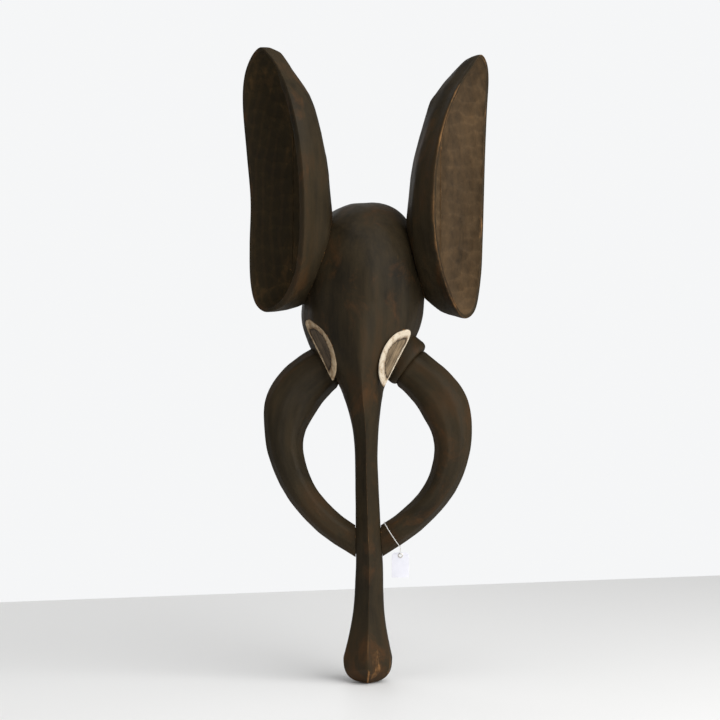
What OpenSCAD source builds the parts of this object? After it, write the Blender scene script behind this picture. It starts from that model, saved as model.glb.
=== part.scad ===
// Carved wooden elephant mask: a hollowed head with its trunk in one block,
// two dished ears and two curved tusks pegged on, white clay eyes, and a strung tag.
// Millimetres. +Z is up the trunk, the face looks along -Y, and left is -X.
// The origin is the mouth of the hanging hole, in the flat back of the crown.

/* [Head] */
// Width of the head at the brow
head_w = 173; // [140:1:210]
// Depth of the head from the flat back to the brow
head_depth = 121; // [100:1:150]
// Height of the crown above the hanging hole
crown_h = 27; // [20:1:36]
// Drop from the hanging hole to the brow, where the head is widest
brow_drop = 109; // [95:1:130]
// Width of the muzzle between the eyes' outer corners
muzzle_w = 124; // [105:1:150]
// Thickness of the hollow's wall at the sides
rim_wall = 16; // [11:0.5:22]
// Depth of the hollow from the flat back
hollow_depth = 88; // [70:1:96]

/* [Trunk] */
// Drop from the hanging hole to the bottom of the trunk
trunk_drop = 644; // [530:1:780]
// Width of the trunk at its waist
trunk_w = 33.5; // [28:0.5:44]
// Depth of the trunk at its waist
trunk_t = 44; // [34:0.5:54]
// Width of the trunk's flared foot
foot_w = 71; // [54:1:86]
// Depth of the trunk's flared foot
foot_t = 70; // [54:1:84]
// Distance from the flat back to the back of the trunk's waist
trunk_off = 56; // [44:1:66]

/* [Ears] */
// Distance of the ear's middle from the side of the head
ear_reach = 42; // [36:1:48]
// Height of the ear's outline
ear_h = 368; // [310:1:420]
// Width of the ear's opening
ear_w = 122; // [100:1:136]
// How far the opening turns out from straight ahead, in degrees
ear_turn = 50; // [44:1:56]
// Depth of the ear's body at its top
ear_t = 42; // [34:1:50]
// Depth of the ear's body at its root
ear_root_t = 80; // [70:1:86]
// Depth of the dished hollow
ear_dish = 33; // [24:0.5:36]
// Thickness of the ear's rim
ear_rim = 6; // [4:0.5:9]
// How much lower the right ear sits than the left
ear_slip = 9; // [0:0.5:14]

/* [Tusks] */
// How far the tusk's middle stands out from the middle of the mask
tusk_reach = 118; // [105:1:130]
// Width of the tusk at its root
tusk_root_w = 64; // [56:1:72]
// Width of the tusk at its tip
tusk_tip_w = 39; // [30:1:46]
// Depth of the tusk at its root
tusk_root_t = 46; // [36:1:52]
// Depth of the tusk at its tip
tusk_tip_t = 33; // [26:1:38]
// Drop from the hanging hole to where the tusk meets the trunk
tusk_join_drop = 452; // [430:1:480]
// Largest radius of the collar that the tusk's root seats on
collar_r = 32; // [30:0.5:35]
// Depth of the collar as a share of its width
collar_flat = 0.84; // [0.76:0.02:0.96]
// Radius of the tenon on the tusk's root
tenon_r = 13; // [9:0.5:16]
// Length of the tenon
tenon_l = 20; // [14:0.5:24]

/* [Eyes] */
// Radius of the half-moon eye
eye_r = 45; // [38:0.5:49]
// Depth of the eye's floor under the cheek at its straight edge
eye_sink = 1; // [0:0.5:4]
// Width of the white clay band along the curve
clay_w = 13; // [7:0.5:17]
// Thickness of the clay
clay_t = 1.4; // [0.8:0.1:2.5]
// How much lower the right eye sits than the left
eye_slip = 10; // [0:0.5:12]

/* [Pegs and holes] */
// Radius of the pegs between the ears and the head
ear_peg_r = 4; // [3:0.25:5]
// Radius of the pegs between the tusks and the trunk
tusk_peg_r = 3.5; // [2.5:0.25:4.5]
// Radius of the hanging hole
hang_r = 4; // [3:0.25:6]
// Depth of the hanging hole
hang_l = 18; // [12:0.5:24]

/* [Tag] */
// Width of the card
card_w = 24; // [18:0.5:30]
// Height of the card
card_h = 35; // [26:0.5:44]
// Thickness of the card
card_t = 0.6; // [0.4:0.1:1.2]
// Radius of the eyelet's hole
eyelet_hole_r = 2.2; // [1.8:0.1:2.6]
// Diameter of the string
string_d = 1.2; // [0.8:0.1:1.4]

/* [Hidden] */

LEFT = -1;
RIGHT = 1;
seam = 0.3;          // glue gap between two carved faces
side_shift = 2.2;    // how far the ears sit to the left of the crown's middle
peg_gap = 0.1;       // glue gap round a peg
wood = [0.17, 0.13, 0.10];
ear_wood = [0.27, 0.20, 0.13];
peg_wood = [0.45, 0.31, 0.18];
clay = [0.86, 0.76, 0.62];
paper = [0.93, 0.93, 0.92];
cotton = [0.90, 0.89, 0.86];

// ---- Curves and lofts ----------------------------------------------------

// Signed power, for superellipses.
function spow(v, e) = sign(v) * pow(abs(v), e);
function unit(v) = v / norm(v);
function clamp(v, lo, hi) = min(max(v, lo), hi);
function knot(p, i) = p[clamp(i, 0, len(p) - 1)];
function ring_knot(p, i) = p[(i + len(p)) % len(p)];

// A cubic through b and c, shaped by their neighbours a and d.
function cubic(a, b, c, d, t) =
    0.5 * (2 * b + (c - a) * t + (2 * a - 5 * b + 4 * c - d) * t * t
        + (3 * b - a - 3 * c + d) * t * t * t);

// The point at u along an open or a closed row of points.
function along(p, u) =
    let (i = min(floor(u), len(p) - 2))
    cubic(knot(p, i - 1), p[i], p[i + 1], knot(p, i + 2), u - i);
function around(p, u) =
    let (i = floor(u))
    cubic(ring_knot(p, i - 1), ring_knot(p, i), ring_knot(p, i + 1), ring_knot(p, i + 2), u - i);

// One solid through a row of rings with the same even number of points each,
// either capped flat across both ends or closed on itself.
module skin(rings, closed = false) {
    n = len(rings[0]);
    m = len(rings);
    side = [
        for (i = [0:m - (closed ? 1 : 2)], j = [0:n - 1])
            let (
                k = (j + 1) % n,
                a = i * n,
                b = (i + 1) % m * n
            )
            each [[a + j, a + k, b + k], [a + j, b + k, b + j]]
    ];
    cap = [
        for (j = [0:n / 2 - 2])
            each [[j, j + 1, n - 2 - j], [j, n - 2 - j, n - 1 - j]]
    ];
    first = [for (f = cap) [f[2], f[1], f[0]]];
    last = [for (f = cap) [for (q = f) q + (m - 1) * n]];
    polyhedron([for (r = rings) each r], closed ? side : concat(side, first, last), convexity = 6);
}

// A cord of a diameter, laid along a closed row of points in the plane square to a direction.
module cord_ring(path, square, d) {
    n = len(path);
    skin([
        for (i = [0:n - 1])
            let (
                way = unit(path[(i + 1) % n] - path[(i + n - 1) % n]),
                out = cross(way, square)
            )
            [for (a = [0:45:315]) path[i] + (out * cos(a) + square * sin(a)) * d / 2]
    ], closed = true);
}

// Joins its children into one carved surface before any hole is bored in it.
module carved() {
    resize([0, 0, 0]) children();
}

// Stands a child's +Z along a direction, at a point.
module aim(at, way) {
    translate(at)
        rotate([0, acos(unit(way).z), atan2(way.y, way.x)])
            children();
}

// ---- Head and trunk ------------------------------------------------------

section_n = 28;
crown_power = 2.5;
brow_z = -brow_drop;
crown_rise = crown_h + brow_drop;
back_roll = 10;      // how far in front of the flat back the head is widest
back_spare = 8;      // what is planed off to make the back flat
foot_z = -trunk_drop;
waist_front = trunk_off + trunk_t;
foot_front = trunk_off + trunk_t / 2 + foot_t / 2 + 4;
foot_back = foot_front - foot_t;
neck_z = brow_z - 140;   // where the muzzle has become the trunk
foot_round = 34;         // height of the foot's rounded end

// Rows of [height, half width, front, widest, back, front power, back power, drift].
// Front, widest and back are distances forward of the flat back.
head_rows = [
    [brow_z, head_w / 2, head_depth, back_roll, -back_spare, 2.3, 4, -6.5],
    [brow_z - 27, head_w / 2 - 1.5, head_depth + 4, back_roll, -back_spare, 2.2, 4, -7.5],
    [brow_z - 53, (head_w + muzzle_w) / 4 + 3.5, head_depth + 6, back_roll, -back_spare, 2.05, 4, -9],
    [brow_z - 80, muzzle_w / 2 + 4, head_depth + 6, back_roll + 4, -back_spare, 1.9, 4, -9.5],
    [brow_z - 106, muzzle_w / 2 - 19, head_depth + 1, back_roll + 12, -4, 1.75, 3, -9.5],
    [brow_z - 122, muzzle_w / 2 - 29, head_depth - 4, back_roll + 26, 8, 1.7, 2.6, -8.5],
    [neck_z, trunk_w / 2 + 9.5, waist_front + 13, trunk_off + 16, trunk_off - 26, 1.7, 2.4, -7],
    [neck_z - 28, trunk_w / 2 + 3.5, waist_front + 7, trunk_off + 22, trunk_off - 6, 1.65, 2.3, -4.5],
    [neck_z - 56, trunk_w / 2 + 0.3, waist_front + 3, trunk_off + 22, trunk_off, 1.6, 2.2, -3.2],
    [neck_z - 98, trunk_w / 2 - 0.5, waist_front, trunk_off + 22, trunk_off, 1.6, 2.2, -2.5],
    [-tusk_join_drop + 20, trunk_w / 2 + 0.3, waist_front, trunk_off + 22, trunk_off, 1.6, 2.2, -1],
    [-tusk_join_drop - 30, trunk_w / 2 + 1.5, waist_front + 1, trunk_off + 22, trunk_off, 1.6, 2.2, 0.5],
    [foot_z + 115, trunk_w / 2 + 4, waist_front + 4, trunk_off + 23, trunk_off - 1, 1.65, 2.2, 0.5],
    [foot_z + 87, (trunk_w + foot_w) / 4 - 2.5, waist_front + 8, trunk_off + 25, trunk_off - 2, 1.7, 2.2, 0.3],
    [foot_z + 60, (trunk_w + foot_w) / 4 + 2.5, waist_front + 13, trunk_off + 27, trunk_off - 4, 1.8, 2.2, 0],
    [foot_z + foot_round, foot_w / 2 - 1, foot_front, (foot_front + foot_back) / 2, foot_back, 2, 2.2, -0.5]
];

// One level ring of the head or trunk, grown outwards by g.
function head_ring(r, g) = [
    for (i = [0:section_n - 1])
        let (
            t = 360 * i / section_n,
            front = cos(t) >= 0,
            e = 2 / (front ? r[5] : r[6]),
            x = (r[1] + g) * spow(sin(t), e),
            reach = front ? r[2] - r[3] + g : r[3] - r[4] + g
        )
        [r[7] + x, -r[3] - reach * spow(cos(t), e), r[0]]
];

// The crown closes over, and the foot closes under, as parts of superellipses.
function crown_row(a) =
    let (
        k = pow(cos(a), 2 / crown_power),
        b = head_rows[0]
    )
    [brow_z + crown_rise * pow(sin(a), 2 / crown_power), b[1] * k, b[2] * k, b[3] * k, b[4] * k,
        b[5], b[6], b[7] * k];
function foot_row(a) =
    let (
        k = pow(cos(a), 2 / 2.4),
        b = head_rows[len(head_rows) - 1],
        c = b[3] + 3 * sin(a)
    )
    [b[0] - foot_round * pow(sin(a), 2 / 2.4), b[1] * k, c + (b[2] - b[3]) * k, c,
        c - (b[3] - b[4]) * k, b[5], b[6], b[7]];

module head_solid(g = 0) {
    rows = concat(
        [for (a = [84:-12:12]) crown_row(a)],
        [for (u = [0:0.5:len(head_rows) - 1]) along(head_rows, u)],
        [for (a = [14:14:84]) foot_row(a)]
    );
    skin([for (r = rows) head_ring(r, g)]);
}

// The wearer's hollow: a turned form at its front, carried straight out of the back.
hollow_r = head_w / 2 - rim_wall;
hollow_half_h = brow_drop - 27;
function hollow_side() = [
    for (a = [-90:15:90]) [hollow_r * cos(a), hollow_half_h * sin(a)]
];
module hollow() {
    translate([head_rows[0][7], -(hollow_depth - hollow_r), brow_z + 2]) {
        rotate_extrude($fn = 64) polygon(hollow_side());
        rotate([90, 0, 180])
            linear_extrude(hollow_depth)
                polygon(concat(hollow_side(), [for (p = hollow_side()) [-p.x, -p.y]]));
    }
}

// ---- Tusks ---------------------------------------------------------------

tusk_rise = 247;      // height of the tusk's curve from its root to its join
root_z = -tusk_join_drop + tusk_rise;
// Rows of [distance from the middle, distance forward, height, width, depth].
tusk_rows = [
    [58, 42, root_z, tusk_root_w - 2, tusk_root_t],
    [73, 46, root_z - 12, tusk_root_w, tusk_root_t],
    [tusk_reach - 25, 53, root_z - 32, tusk_root_w + 3, tusk_root_t],
    [tusk_reach - 10, 61, root_z - 55, tusk_root_w + 4, tusk_root_t - 2],
    [tusk_reach - 1.5, 66, root_z - 85, (tusk_root_w + tusk_tip_w) / 2 + 7.5, tusk_root_t - 4],
    [tusk_reach - 2.5, 70, root_z - 117, tusk_tip_w + 11.5, tusk_root_t - 5],
    [tusk_reach - 15, 73, root_z - 155, tusk_tip_w + 6, tusk_tip_t + 6],
    [tusk_reach - 36, 75, root_z - 188, tusk_tip_w + 2, tusk_tip_t + 4],
    [tusk_reach - 68, 76, root_z - 220, tusk_tip_w + 1, tusk_tip_t + 1],
    [4, 76, -tusk_join_drop - 3, tusk_tip_w, tusk_tip_t]
];
function tusk_at(u, side) =
    let (r = along(tusk_rows, u))
    [side * r[0], -r[1], r[2]];
function tusk_way(u, side) = unit(tusk_at(u + 0.05, side) - tusk_at(max(u - 0.05, 0), side));
tusk_power = 1.7;
tusk_n = 20;

function tusk_ring(u, side) =
    let (
        r = along(tusk_rows, u),
        at = tusk_at(u, side),
        way = tusk_way(u, side),
        across = unit(cross(way, [0, 1, 0])),
        deep = cross(way, across)
    )
    [
        for (i = [0:tusk_n - 1])
            let (t = -360 * i / tusk_n)
            at + across * r[3] / 2 * spow(cos(t), 2 / tusk_power)
                + deep * r[4] / 2 * spow(sin(t), 2 / tusk_power)
    ];

last_u = len(tusk_rows) - 1;
module tusk_body(side) {
    skin([for (u = [0:0.35:last_u]) tusk_ring(u, side)]);
}

module tusk_tenon(side, gap) {
    aim(tusk_at(0, side) + tusk_way(0, side) * 4, -tusk_way(0, side))
        cylinder(r = tenon_r + gap, h = tenon_l + 4 + 4 * gap, $fn = 48);
}

// The oval collar swells out of the cheek, and ends a glue gap behind the tusk's first ring.
collar_l = 36;
module collar(side) {
    way = tusk_way(0, side);
    aim(tusk_at(0, side) - way * seam, -way)
        scale([1, collar_flat, 1]) {
            cylinder(r1 = collar_r - 2, r2 = collar_r, h = 5, $fn = 48);
            translate([0, 0, 5]) cylinder(r = collar_r, h = collar_l - 5, $fn = 48);
        }
}

// The tusk's tip is pegged to the trunk.
tip_u = last_u - 0.6;
tip_peg_l = 28;
module tusk_peg_form(side, r, spare) {
    way = unit(tusk_at(last_u, side) - tusk_at(tip_u, side));
    aim(tusk_at(tip_u, side) - way * spare, way)
        cylinder(r = r, h = tip_peg_l + 2 * spare, $fn = 32);
}

// ---- Ears ----------------------------------------------------------------

// The rim's outline as shares of the ear's width and height, from the top round the inner side.
left_rim = [
    [0.24, 1], [0.07, 0.96], [-0.29, 0.81], [-0.45, 0.67], [-0.5, 0.52], [-0.5, 0.36],
    [-0.45, 0.2], [-0.25, 0.08], [0.14, 0], [0.42, 0.1], [0.47, 0.25], [0.45, 0.42],
    [0.52, 0.6], [0.59, 0.78], [0.51, 0.92]
];
right_rim = [
    [0.42, 1], [0.22, 0.955], [-0.04, 0.855], [-0.26, 0.74], [-0.42, 0.59], [-0.47, 0.43],
    [-0.42, 0.28], [-0.27, 0.165], [0.14, 0], [0.34, 0.07], [0.41, 0.2], [0.44, 0.38],
    [0.47, 0.56], [0.5, 0.76], [0.51, 0.92]
];
rim_n = 36;
ear_top_z = 243;
ear_foot_z = ear_top_z - ear_h;
ear_x = head_w / 2 + ear_reach;
ear_y = 80;               // the opening's middle, forward of the flat back
ear_root_z = 10;          // height below which the ear has its full depth
spine_low = 0.16;         // the ends of the line that the ear's body closes towards
spine_high = 0.82;
ear_power = 2.4;

function rim_at(side, j) =
    around(side == LEFT ? left_rim : right_rim, j * len(left_rim) / rim_n);
// The ear's depth at a height: it thickens evenly from the top down to the root.
function body_t(z) =
    let (k = clamp((ear_top_z - 30 - z) / (ear_top_z - 30 - ear_root_z), 0, 1))
    ear_t + (ear_root_t - ear_t) * k * (1.4 - 0.4 * k);

// A point of the ear from its place across, up and into the opening.
function ear_point(side, across, up, into) =
    let (
        z = ear_foot_z + ear_h * up - (side == RIGHT ? ear_slip : 0),
        out = ear_x + across * cos(ear_turn) - into * sin(ear_turn),
        fore = ear_y - across * sin(ear_turn) - into * cos(ear_turn)
    )
    [side * out - side_shift, -fore, z];

// A ring of the ear: the rim drawn in by g towards the spine, at a share of a depth.
function ear_ring(side, g, share, inside) = [
    for (j = [0:rim_n - 1])
        let (
            p = rim_at(side, side == LEFT ? j : rim_n - j),
            hub = [0, clamp(p[1], spine_low, spine_high)],
            d = [(p[0] - hub[0]) * ear_w, (p[1] - hub[1]) * ear_h],
            cut = inside ? max(norm(d) - ear_rim, 1) / norm(d) : 1,
            up = hub[1] + d[1] * g * cut / ear_h,
            z = ear_foot_z + ear_h * up,
            deep = inside ? ear_dish : body_t(z)
        )
        ear_point(side, d[0] * g * cut, up, deep * share)
];
function shrink(share, power) = pow(1 - pow(share, power), 1 / power);

module ear_body(side) {
    outer = [for (s = [0.99, 0.96, 0.9, 0.8, 0.65, 0.45, 0.22, 0.05])
        ear_ring(side, shrink(s, ear_power), s, false)];
    inner = [for (s = [0.04, 0.25, 0.5, 0.7, 0.84, 0.93, 0.98])
        ear_ring(side, shrink(s, 2), s, true)];
    skin(concat(outer, inner));
}

ear_peg_l = 38;
ear_peg_drops = [25, 75];      // drop from the hanging hole
ear_peg_across = -16;
module ear_peg_form(side, r, spare) {
    for (drop = ear_peg_drops) {
        up = (-drop + (side == RIGHT ? ear_slip : 0) - ear_foot_z) / ear_h;
        start = ear_dish + 3 - spare;
        a = ear_point(side, ear_peg_across, up, start);
        b = ear_point(side, ear_peg_across, up, start + ear_peg_l + 2 * spare);
        aim(a, b - a) cylinder(r = r, h = norm(b - a), $fn = 32);
    }
}

// ---- Eyes ----------------------------------------------------------------

// Rows of [distance from the muzzle's middle, distance forward, height, turn out, lean]
// for the middle of each eye's straight edge.
eye_rows = [
    [59.5, 70, brow_z - 69, 55, 28],
    [49, 87, brow_z - 70 - eye_slip, 47, 27]
];
eye_down = 13;        // how far the eye's face turns down
eye_cut = 9;          // distance of the straight edge from the curve's middle
chord_w = 2;          // width of the clay along the straight edge

// Places a child's XY plane on the eye's floor, +Z out of the cheek, +Y up the
// straight edge, and +X from that edge across the eye.
module on_eye(side) {
    r = eye_rows[side == LEFT ? 0 : 1];
    translate([side * r[0] + head_rows[3][7], -r[1], r[2]])
        rotate([0, 0, side * r[3]])
            rotate([90 + eye_down, 0, 0])
                rotate([0, 0, -side * r[4]])
                    mirror([side == RIGHT ? 1 : 0, 0, 0])
                        translate([-eye_cut, 0, -eye_sink])
                            children();
}
module half_moon(r, cut) {
    intersection() {
        circle(r = r, $fn = 96);
        translate([cut, -r]) square([r, 2 * r]);
    }
}

// ---- Tag -----------------------------------------------------------------

string_u = last_u - 0.66;      // where the string goes round the right tusk
string_gap = 0.3;
loop_l = 9.5;                   // length of the tag's loop
loop_w = 3.6;                  // width of the tag's loop, front to back
hole_in = 4.2;                 // distance of the eyelet's middle below the card's top
flange_w = 1.4;                // width of the eyelet's rim beyond its hole
flange_t = 0.35;

// The string's path round the tusk, and its lowest point.
function string_path() =
    let (
        r = along(tusk_rows, string_u),
        at = tusk_at(string_u, RIGHT),
        way = tusk_way(string_u, RIGHT),
        side = unit(cross(way, [0, 1, 0])),
        g = string_gap + string_d / 2
    )
    [
        for (i = [0:31])
            let (t = 360 * i / 32)
            at + side * (r[3] / 2 + g) * spow(cos(t), 2 / 2.1)
                + [0, 1, 0] * (r[4] / 2 + g) * spow(sin(t), 2 / 2.1)
    ];
function lowest(path) = let (z = min([for (q = path) q.z])) [for (q = path) if (q.z == z) q][0];
function string_square() = unit(cross(string_path()[8] - string_path()[24], string_path()[0] - string_path()[16]));
slack = 0.4;                   // clearance where the thread meets the eyelet
swing_slack = 0.7;             // clearance where the thread meets the string, to let it swing
hang_at = lowest(string_path()) - [0, 0, string_d + swing_slack];
eyelet_at = hang_at - [0, 0, loop_l + eyelet_hole_r - string_d / 2 - slack];

module on_card() {
    translate(eyelet_at) rotate([90, 0, 0]) children();
}

// ---- Node modules --------------------------------------------------------

// The head and trunk in one block, with every socket and hole.
module head_and_trunk() {
    color(wood)
        difference() {
            carved()
                difference() {
                    union() {
                        head_solid();
                        for (side = [LEFT, RIGHT]) collar(side);
                    }
                    translate([-head_w, 0, -trunk_drop / 2]) cube([2 * head_w, 60, trunk_drop]);
                    hollow();
                    for (side = [LEFT, RIGHT])
                        on_eye(side) linear_extrude(60) half_moon(eye_r, eye_cut);
                }
            aim([0, -hang_l, 0], [0, 1, 0]) cylinder(r = hang_r, h = hang_l + 5, $fn = 32);
            for (side = [LEFT, RIGHT]) {
                tusk_tenon(side, peg_gap);
                tusk_peg_form(side, tusk_peg_r + peg_gap, 1);
                ear_peg_form(side, ear_peg_r + peg_gap, 1);
            }
        }
}

// A dished ear, carved to sit against the side of the head.
module ear(side) {
    color(ear_wood)
        difference() {
            carved()
                difference() {
                    ear_body(side);
                    head_solid(seam);
                }
            ear_peg_form(side, ear_peg_r + peg_gap, 1);
        }
}

// A curved tusk, with a tenon for the cheek and its tip cut to the trunk's side.
module tusk(side) {
    color(wood)
        difference() {
            union() {
                carved()
                    difference() {
                        tusk_body(side);
                        head_solid(seam);
                    }
                tusk_tenon(side, 0);
            }
            tusk_peg_form(side, tusk_peg_r + peg_gap, 1);
        }
}

// The four pegs that hold the ears.
module ear_pegs() {
    color(peg_wood)
        for (side = [LEFT, RIGHT]) ear_peg_form(side, ear_peg_r, 0);
}

// The two pegs that hold the tusks' tips.
module tusk_pegs() {
    color(peg_wood)
        for (side = [LEFT, RIGHT]) tusk_peg_form(side, tusk_peg_r, 0);
}

// The white clay round a half-moon eye.
module eye_clay(side) {
    color(clay)
        on_eye(side)
            linear_extrude(clay_t)
                difference() {
                    half_moon(eye_r - 0.2, eye_cut + 0.2);
                    translate([clay_w * 0.1, 0]) half_moon(eye_r - clay_w, eye_cut + chord_w - clay_w * 0.1);
                }
}

// The seller's string, tied round the right tusk.
module tusk_string() {
    color(cotton) cord_ring(string_path(), string_square(), string_d);
}

// The loop that the card hangs on.
module tag_loop() {
    color(cotton)
        cord_ring([
            for (a = [0:15:345])
                let (e = cos(a) > 0 ? 1 : 0.6)
                hang_at + [0, loop_w / 2 * spow(sin(a), e), loop_l / 2 * (spow(cos(a), e) - 1)]
        ], [1, 0, 0], string_d);
}

// The blank card.
module tag_card() {
    color(paper)
        on_card()
            difference() {
                translate([-card_w / 2, hole_in - card_h, -card_t / 2]) cube([card_w, card_h, card_t]);
                cylinder(r = eyelet_hole_r + 0.45, h = 4, center = true, $fn = 48);
            }
}

// The eyelet pressed through the card.
module tag_eyelet() {
    color([0.75, 0.66, 0.42])
        on_card()
            difference() {
                union() {
                    cylinder(r = eyelet_hole_r + 0.4, h = card_t, center = true, $fn = 48);
                    for (s = [-1, 1])
                        translate([0, 0, s * (card_t / 2 + flange_t / 2)])
                            cylinder(r = eyelet_hole_r + flange_w, h = flange_t, center = true, $fn = 48);
                }
                cylinder(r = eyelet_hole_r, h = 4, center = true, $fn = 48);
            }
}

head_and_trunk();
ear(LEFT);  // left_ear
ear(RIGHT);  // right_ear
tusk(LEFT);  // left_tusk
tusk(RIGHT);  // right_tusk
ear_pegs();
tusk_pegs();
eye_clay(LEFT);  // left_eye_clay
eye_clay(RIGHT);  // right_eye_clay
tusk_string();
tag_loop();
tag_card();
tag_eyelet();
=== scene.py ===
"""Looks of a carved wooden elephant mask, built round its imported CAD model.

The head and trunk are one block. Two dished ears and two curved tusks are glued
and pegged to it. White clay rims the half-moon eyes, and a blank card hangs on a
cotton string round the right tusk. Sizes are in millimetres until a mesh is made.
"""

import logging
import math
from collections.abc import Callable
from dataclasses import dataclass, field
from enum import Enum

import bpy
import numpy as np
from mathutils import Matrix, Vector
from mathutils.kdtree import KDTree


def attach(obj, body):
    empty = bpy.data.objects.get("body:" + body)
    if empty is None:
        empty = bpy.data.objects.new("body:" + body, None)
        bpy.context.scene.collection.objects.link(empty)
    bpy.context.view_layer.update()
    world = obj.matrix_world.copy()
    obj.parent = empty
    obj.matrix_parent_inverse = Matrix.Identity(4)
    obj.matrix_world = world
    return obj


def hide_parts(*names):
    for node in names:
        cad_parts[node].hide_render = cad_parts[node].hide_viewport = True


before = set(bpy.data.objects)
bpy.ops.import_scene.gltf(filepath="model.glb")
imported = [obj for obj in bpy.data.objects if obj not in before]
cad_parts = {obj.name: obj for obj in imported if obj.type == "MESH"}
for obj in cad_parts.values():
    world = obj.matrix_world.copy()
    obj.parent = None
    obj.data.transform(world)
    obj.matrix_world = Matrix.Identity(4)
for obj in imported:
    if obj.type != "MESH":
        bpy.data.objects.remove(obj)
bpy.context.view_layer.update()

log = logging.getLogger("mask")
MM = 0.001
BODY_MASK, BODY_THREAD, BODY_TAG = "mask", "thread", "tag"
Triple = tuple[float, float, float]
Colour = Triple


class Side(Enum):
    """The mask's two sides, as the viewer sees them."""

    LEFT = -1
    RIGHT = 1


# ---- Curves and rows -------------------------------------------------------


def spow(value: np.ndarray, power: float | np.ndarray) -> np.ndarray:
    """Raises a value to a power and keeps its sign."""
    return np.sign(value) * np.abs(value) ** power


def ease(low: float, high: float, value: np.ndarray) -> np.ndarray:
    """Rises smoothly from 0 at low to 1 at high."""
    t = np.clip((value - low) / (high - low), 0, 1)
    return t * t * (3 - 2 * t)


def cubic(a: np.ndarray, b: np.ndarray, c: np.ndarray, d: np.ndarray, t: np.ndarray) -> np.ndarray:
    """A cubic through b and c, shaped by their neighbours a and d."""
    return 0.5 * (
        2 * b + (c - a) * t + (2 * a - 5 * b + 4 * c - d) * t * t
        + (3 * b - a - 3 * c + d) * t * t * t
    )


def along(rows: np.ndarray, u: np.ndarray, closed: bool = False) -> np.ndarray:
    """Rows read between their knots.

    Args:
        rows: One row of numbers for each knot.
        u: Places along the rows, where 0 is the first knot.
        closed: Whether the last knot leads back to the first.

    Returns:
        One row of numbers for each place.
    """
    rows, u = np.asarray(rows, float), np.atleast_1d(np.asarray(u, float))
    i = np.floor(u).astype(int)
    if not closed:
        i = np.clip(i, 0, len(rows) - 2)

    def knot(k: np.ndarray) -> np.ndarray:
        """The rows at whole places, held at the ends or led round."""
        return rows[k % len(rows)] if closed else rows[np.clip(k, 0, len(rows) - 1)]

    return cubic(knot(i - 1), knot(i), knot(i + 1), knot(i + 2), (u - i)[:, None])


def unit(v: np.ndarray) -> np.ndarray:
    """Vectors of length 1 along the last axis."""
    return v / np.linalg.norm(v, axis=-1, keepdims=True)


def spaced(line: np.ndarray, count: int) -> np.ndarray:
    """A line of points respaced at even distances, with both its ends kept."""
    run = np.concatenate([[0], np.cumsum(np.linalg.norm(np.diff(line, axis=0), axis=1))])
    at = np.linspace(0, run[-1], count)
    return np.stack([np.interp(at, run, line[:, k]) for k in range(line.shape[1])], axis=1)


def spaced_ring(ring: np.ndarray, count: int) -> np.ndarray:
    """A closed ring respaced at even distances from its first point."""
    return spaced(np.vstack([ring, ring[:1]]), count + 1)[:-1]


def planed(rings: np.ndarray, facets: np.ndarray, hard: float = 70.0) -> np.ndarray:
    """Planes flat facets down the sides of a row of rings.

    Args:
        rings: Points about each ring's middle, as (ring, point, across and forward).
        facets: For each ring, rows of (angle of the facet from the front in degrees,
            share of the ring's reach that the facet leaves).
        hard: How crisp the edge between two facets is.

    Returns:
        The planed points, with each ring's width and depth as they were.
    """
    total = np.ones(rings.shape[:2])
    for k in range(facets.shape[1]):
        angle = np.radians(facets[:, k, 0])
        normal = np.stack([np.sin(angle), np.cos(angle)], axis=-1)
        reach = np.einsum("rpc,rc->rp", rings, normal)
        limit = facets[:, k, 1] * reach.max(axis=1)
        total += np.maximum(reach / limit[:, None], 0) ** hard
    cut = rings / (total ** (1 / hard))[:, :, None]
    high = rings.max(axis=1, keepdims=True) / cut.max(axis=1, keepdims=True)
    low = rings.min(axis=1, keepdims=True) / cut.min(axis=1, keepdims=True)
    return cut * np.where(cut > 0, high, low)


# ---- Workbench: meshes, cuts and marks -------------------------------------


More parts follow.
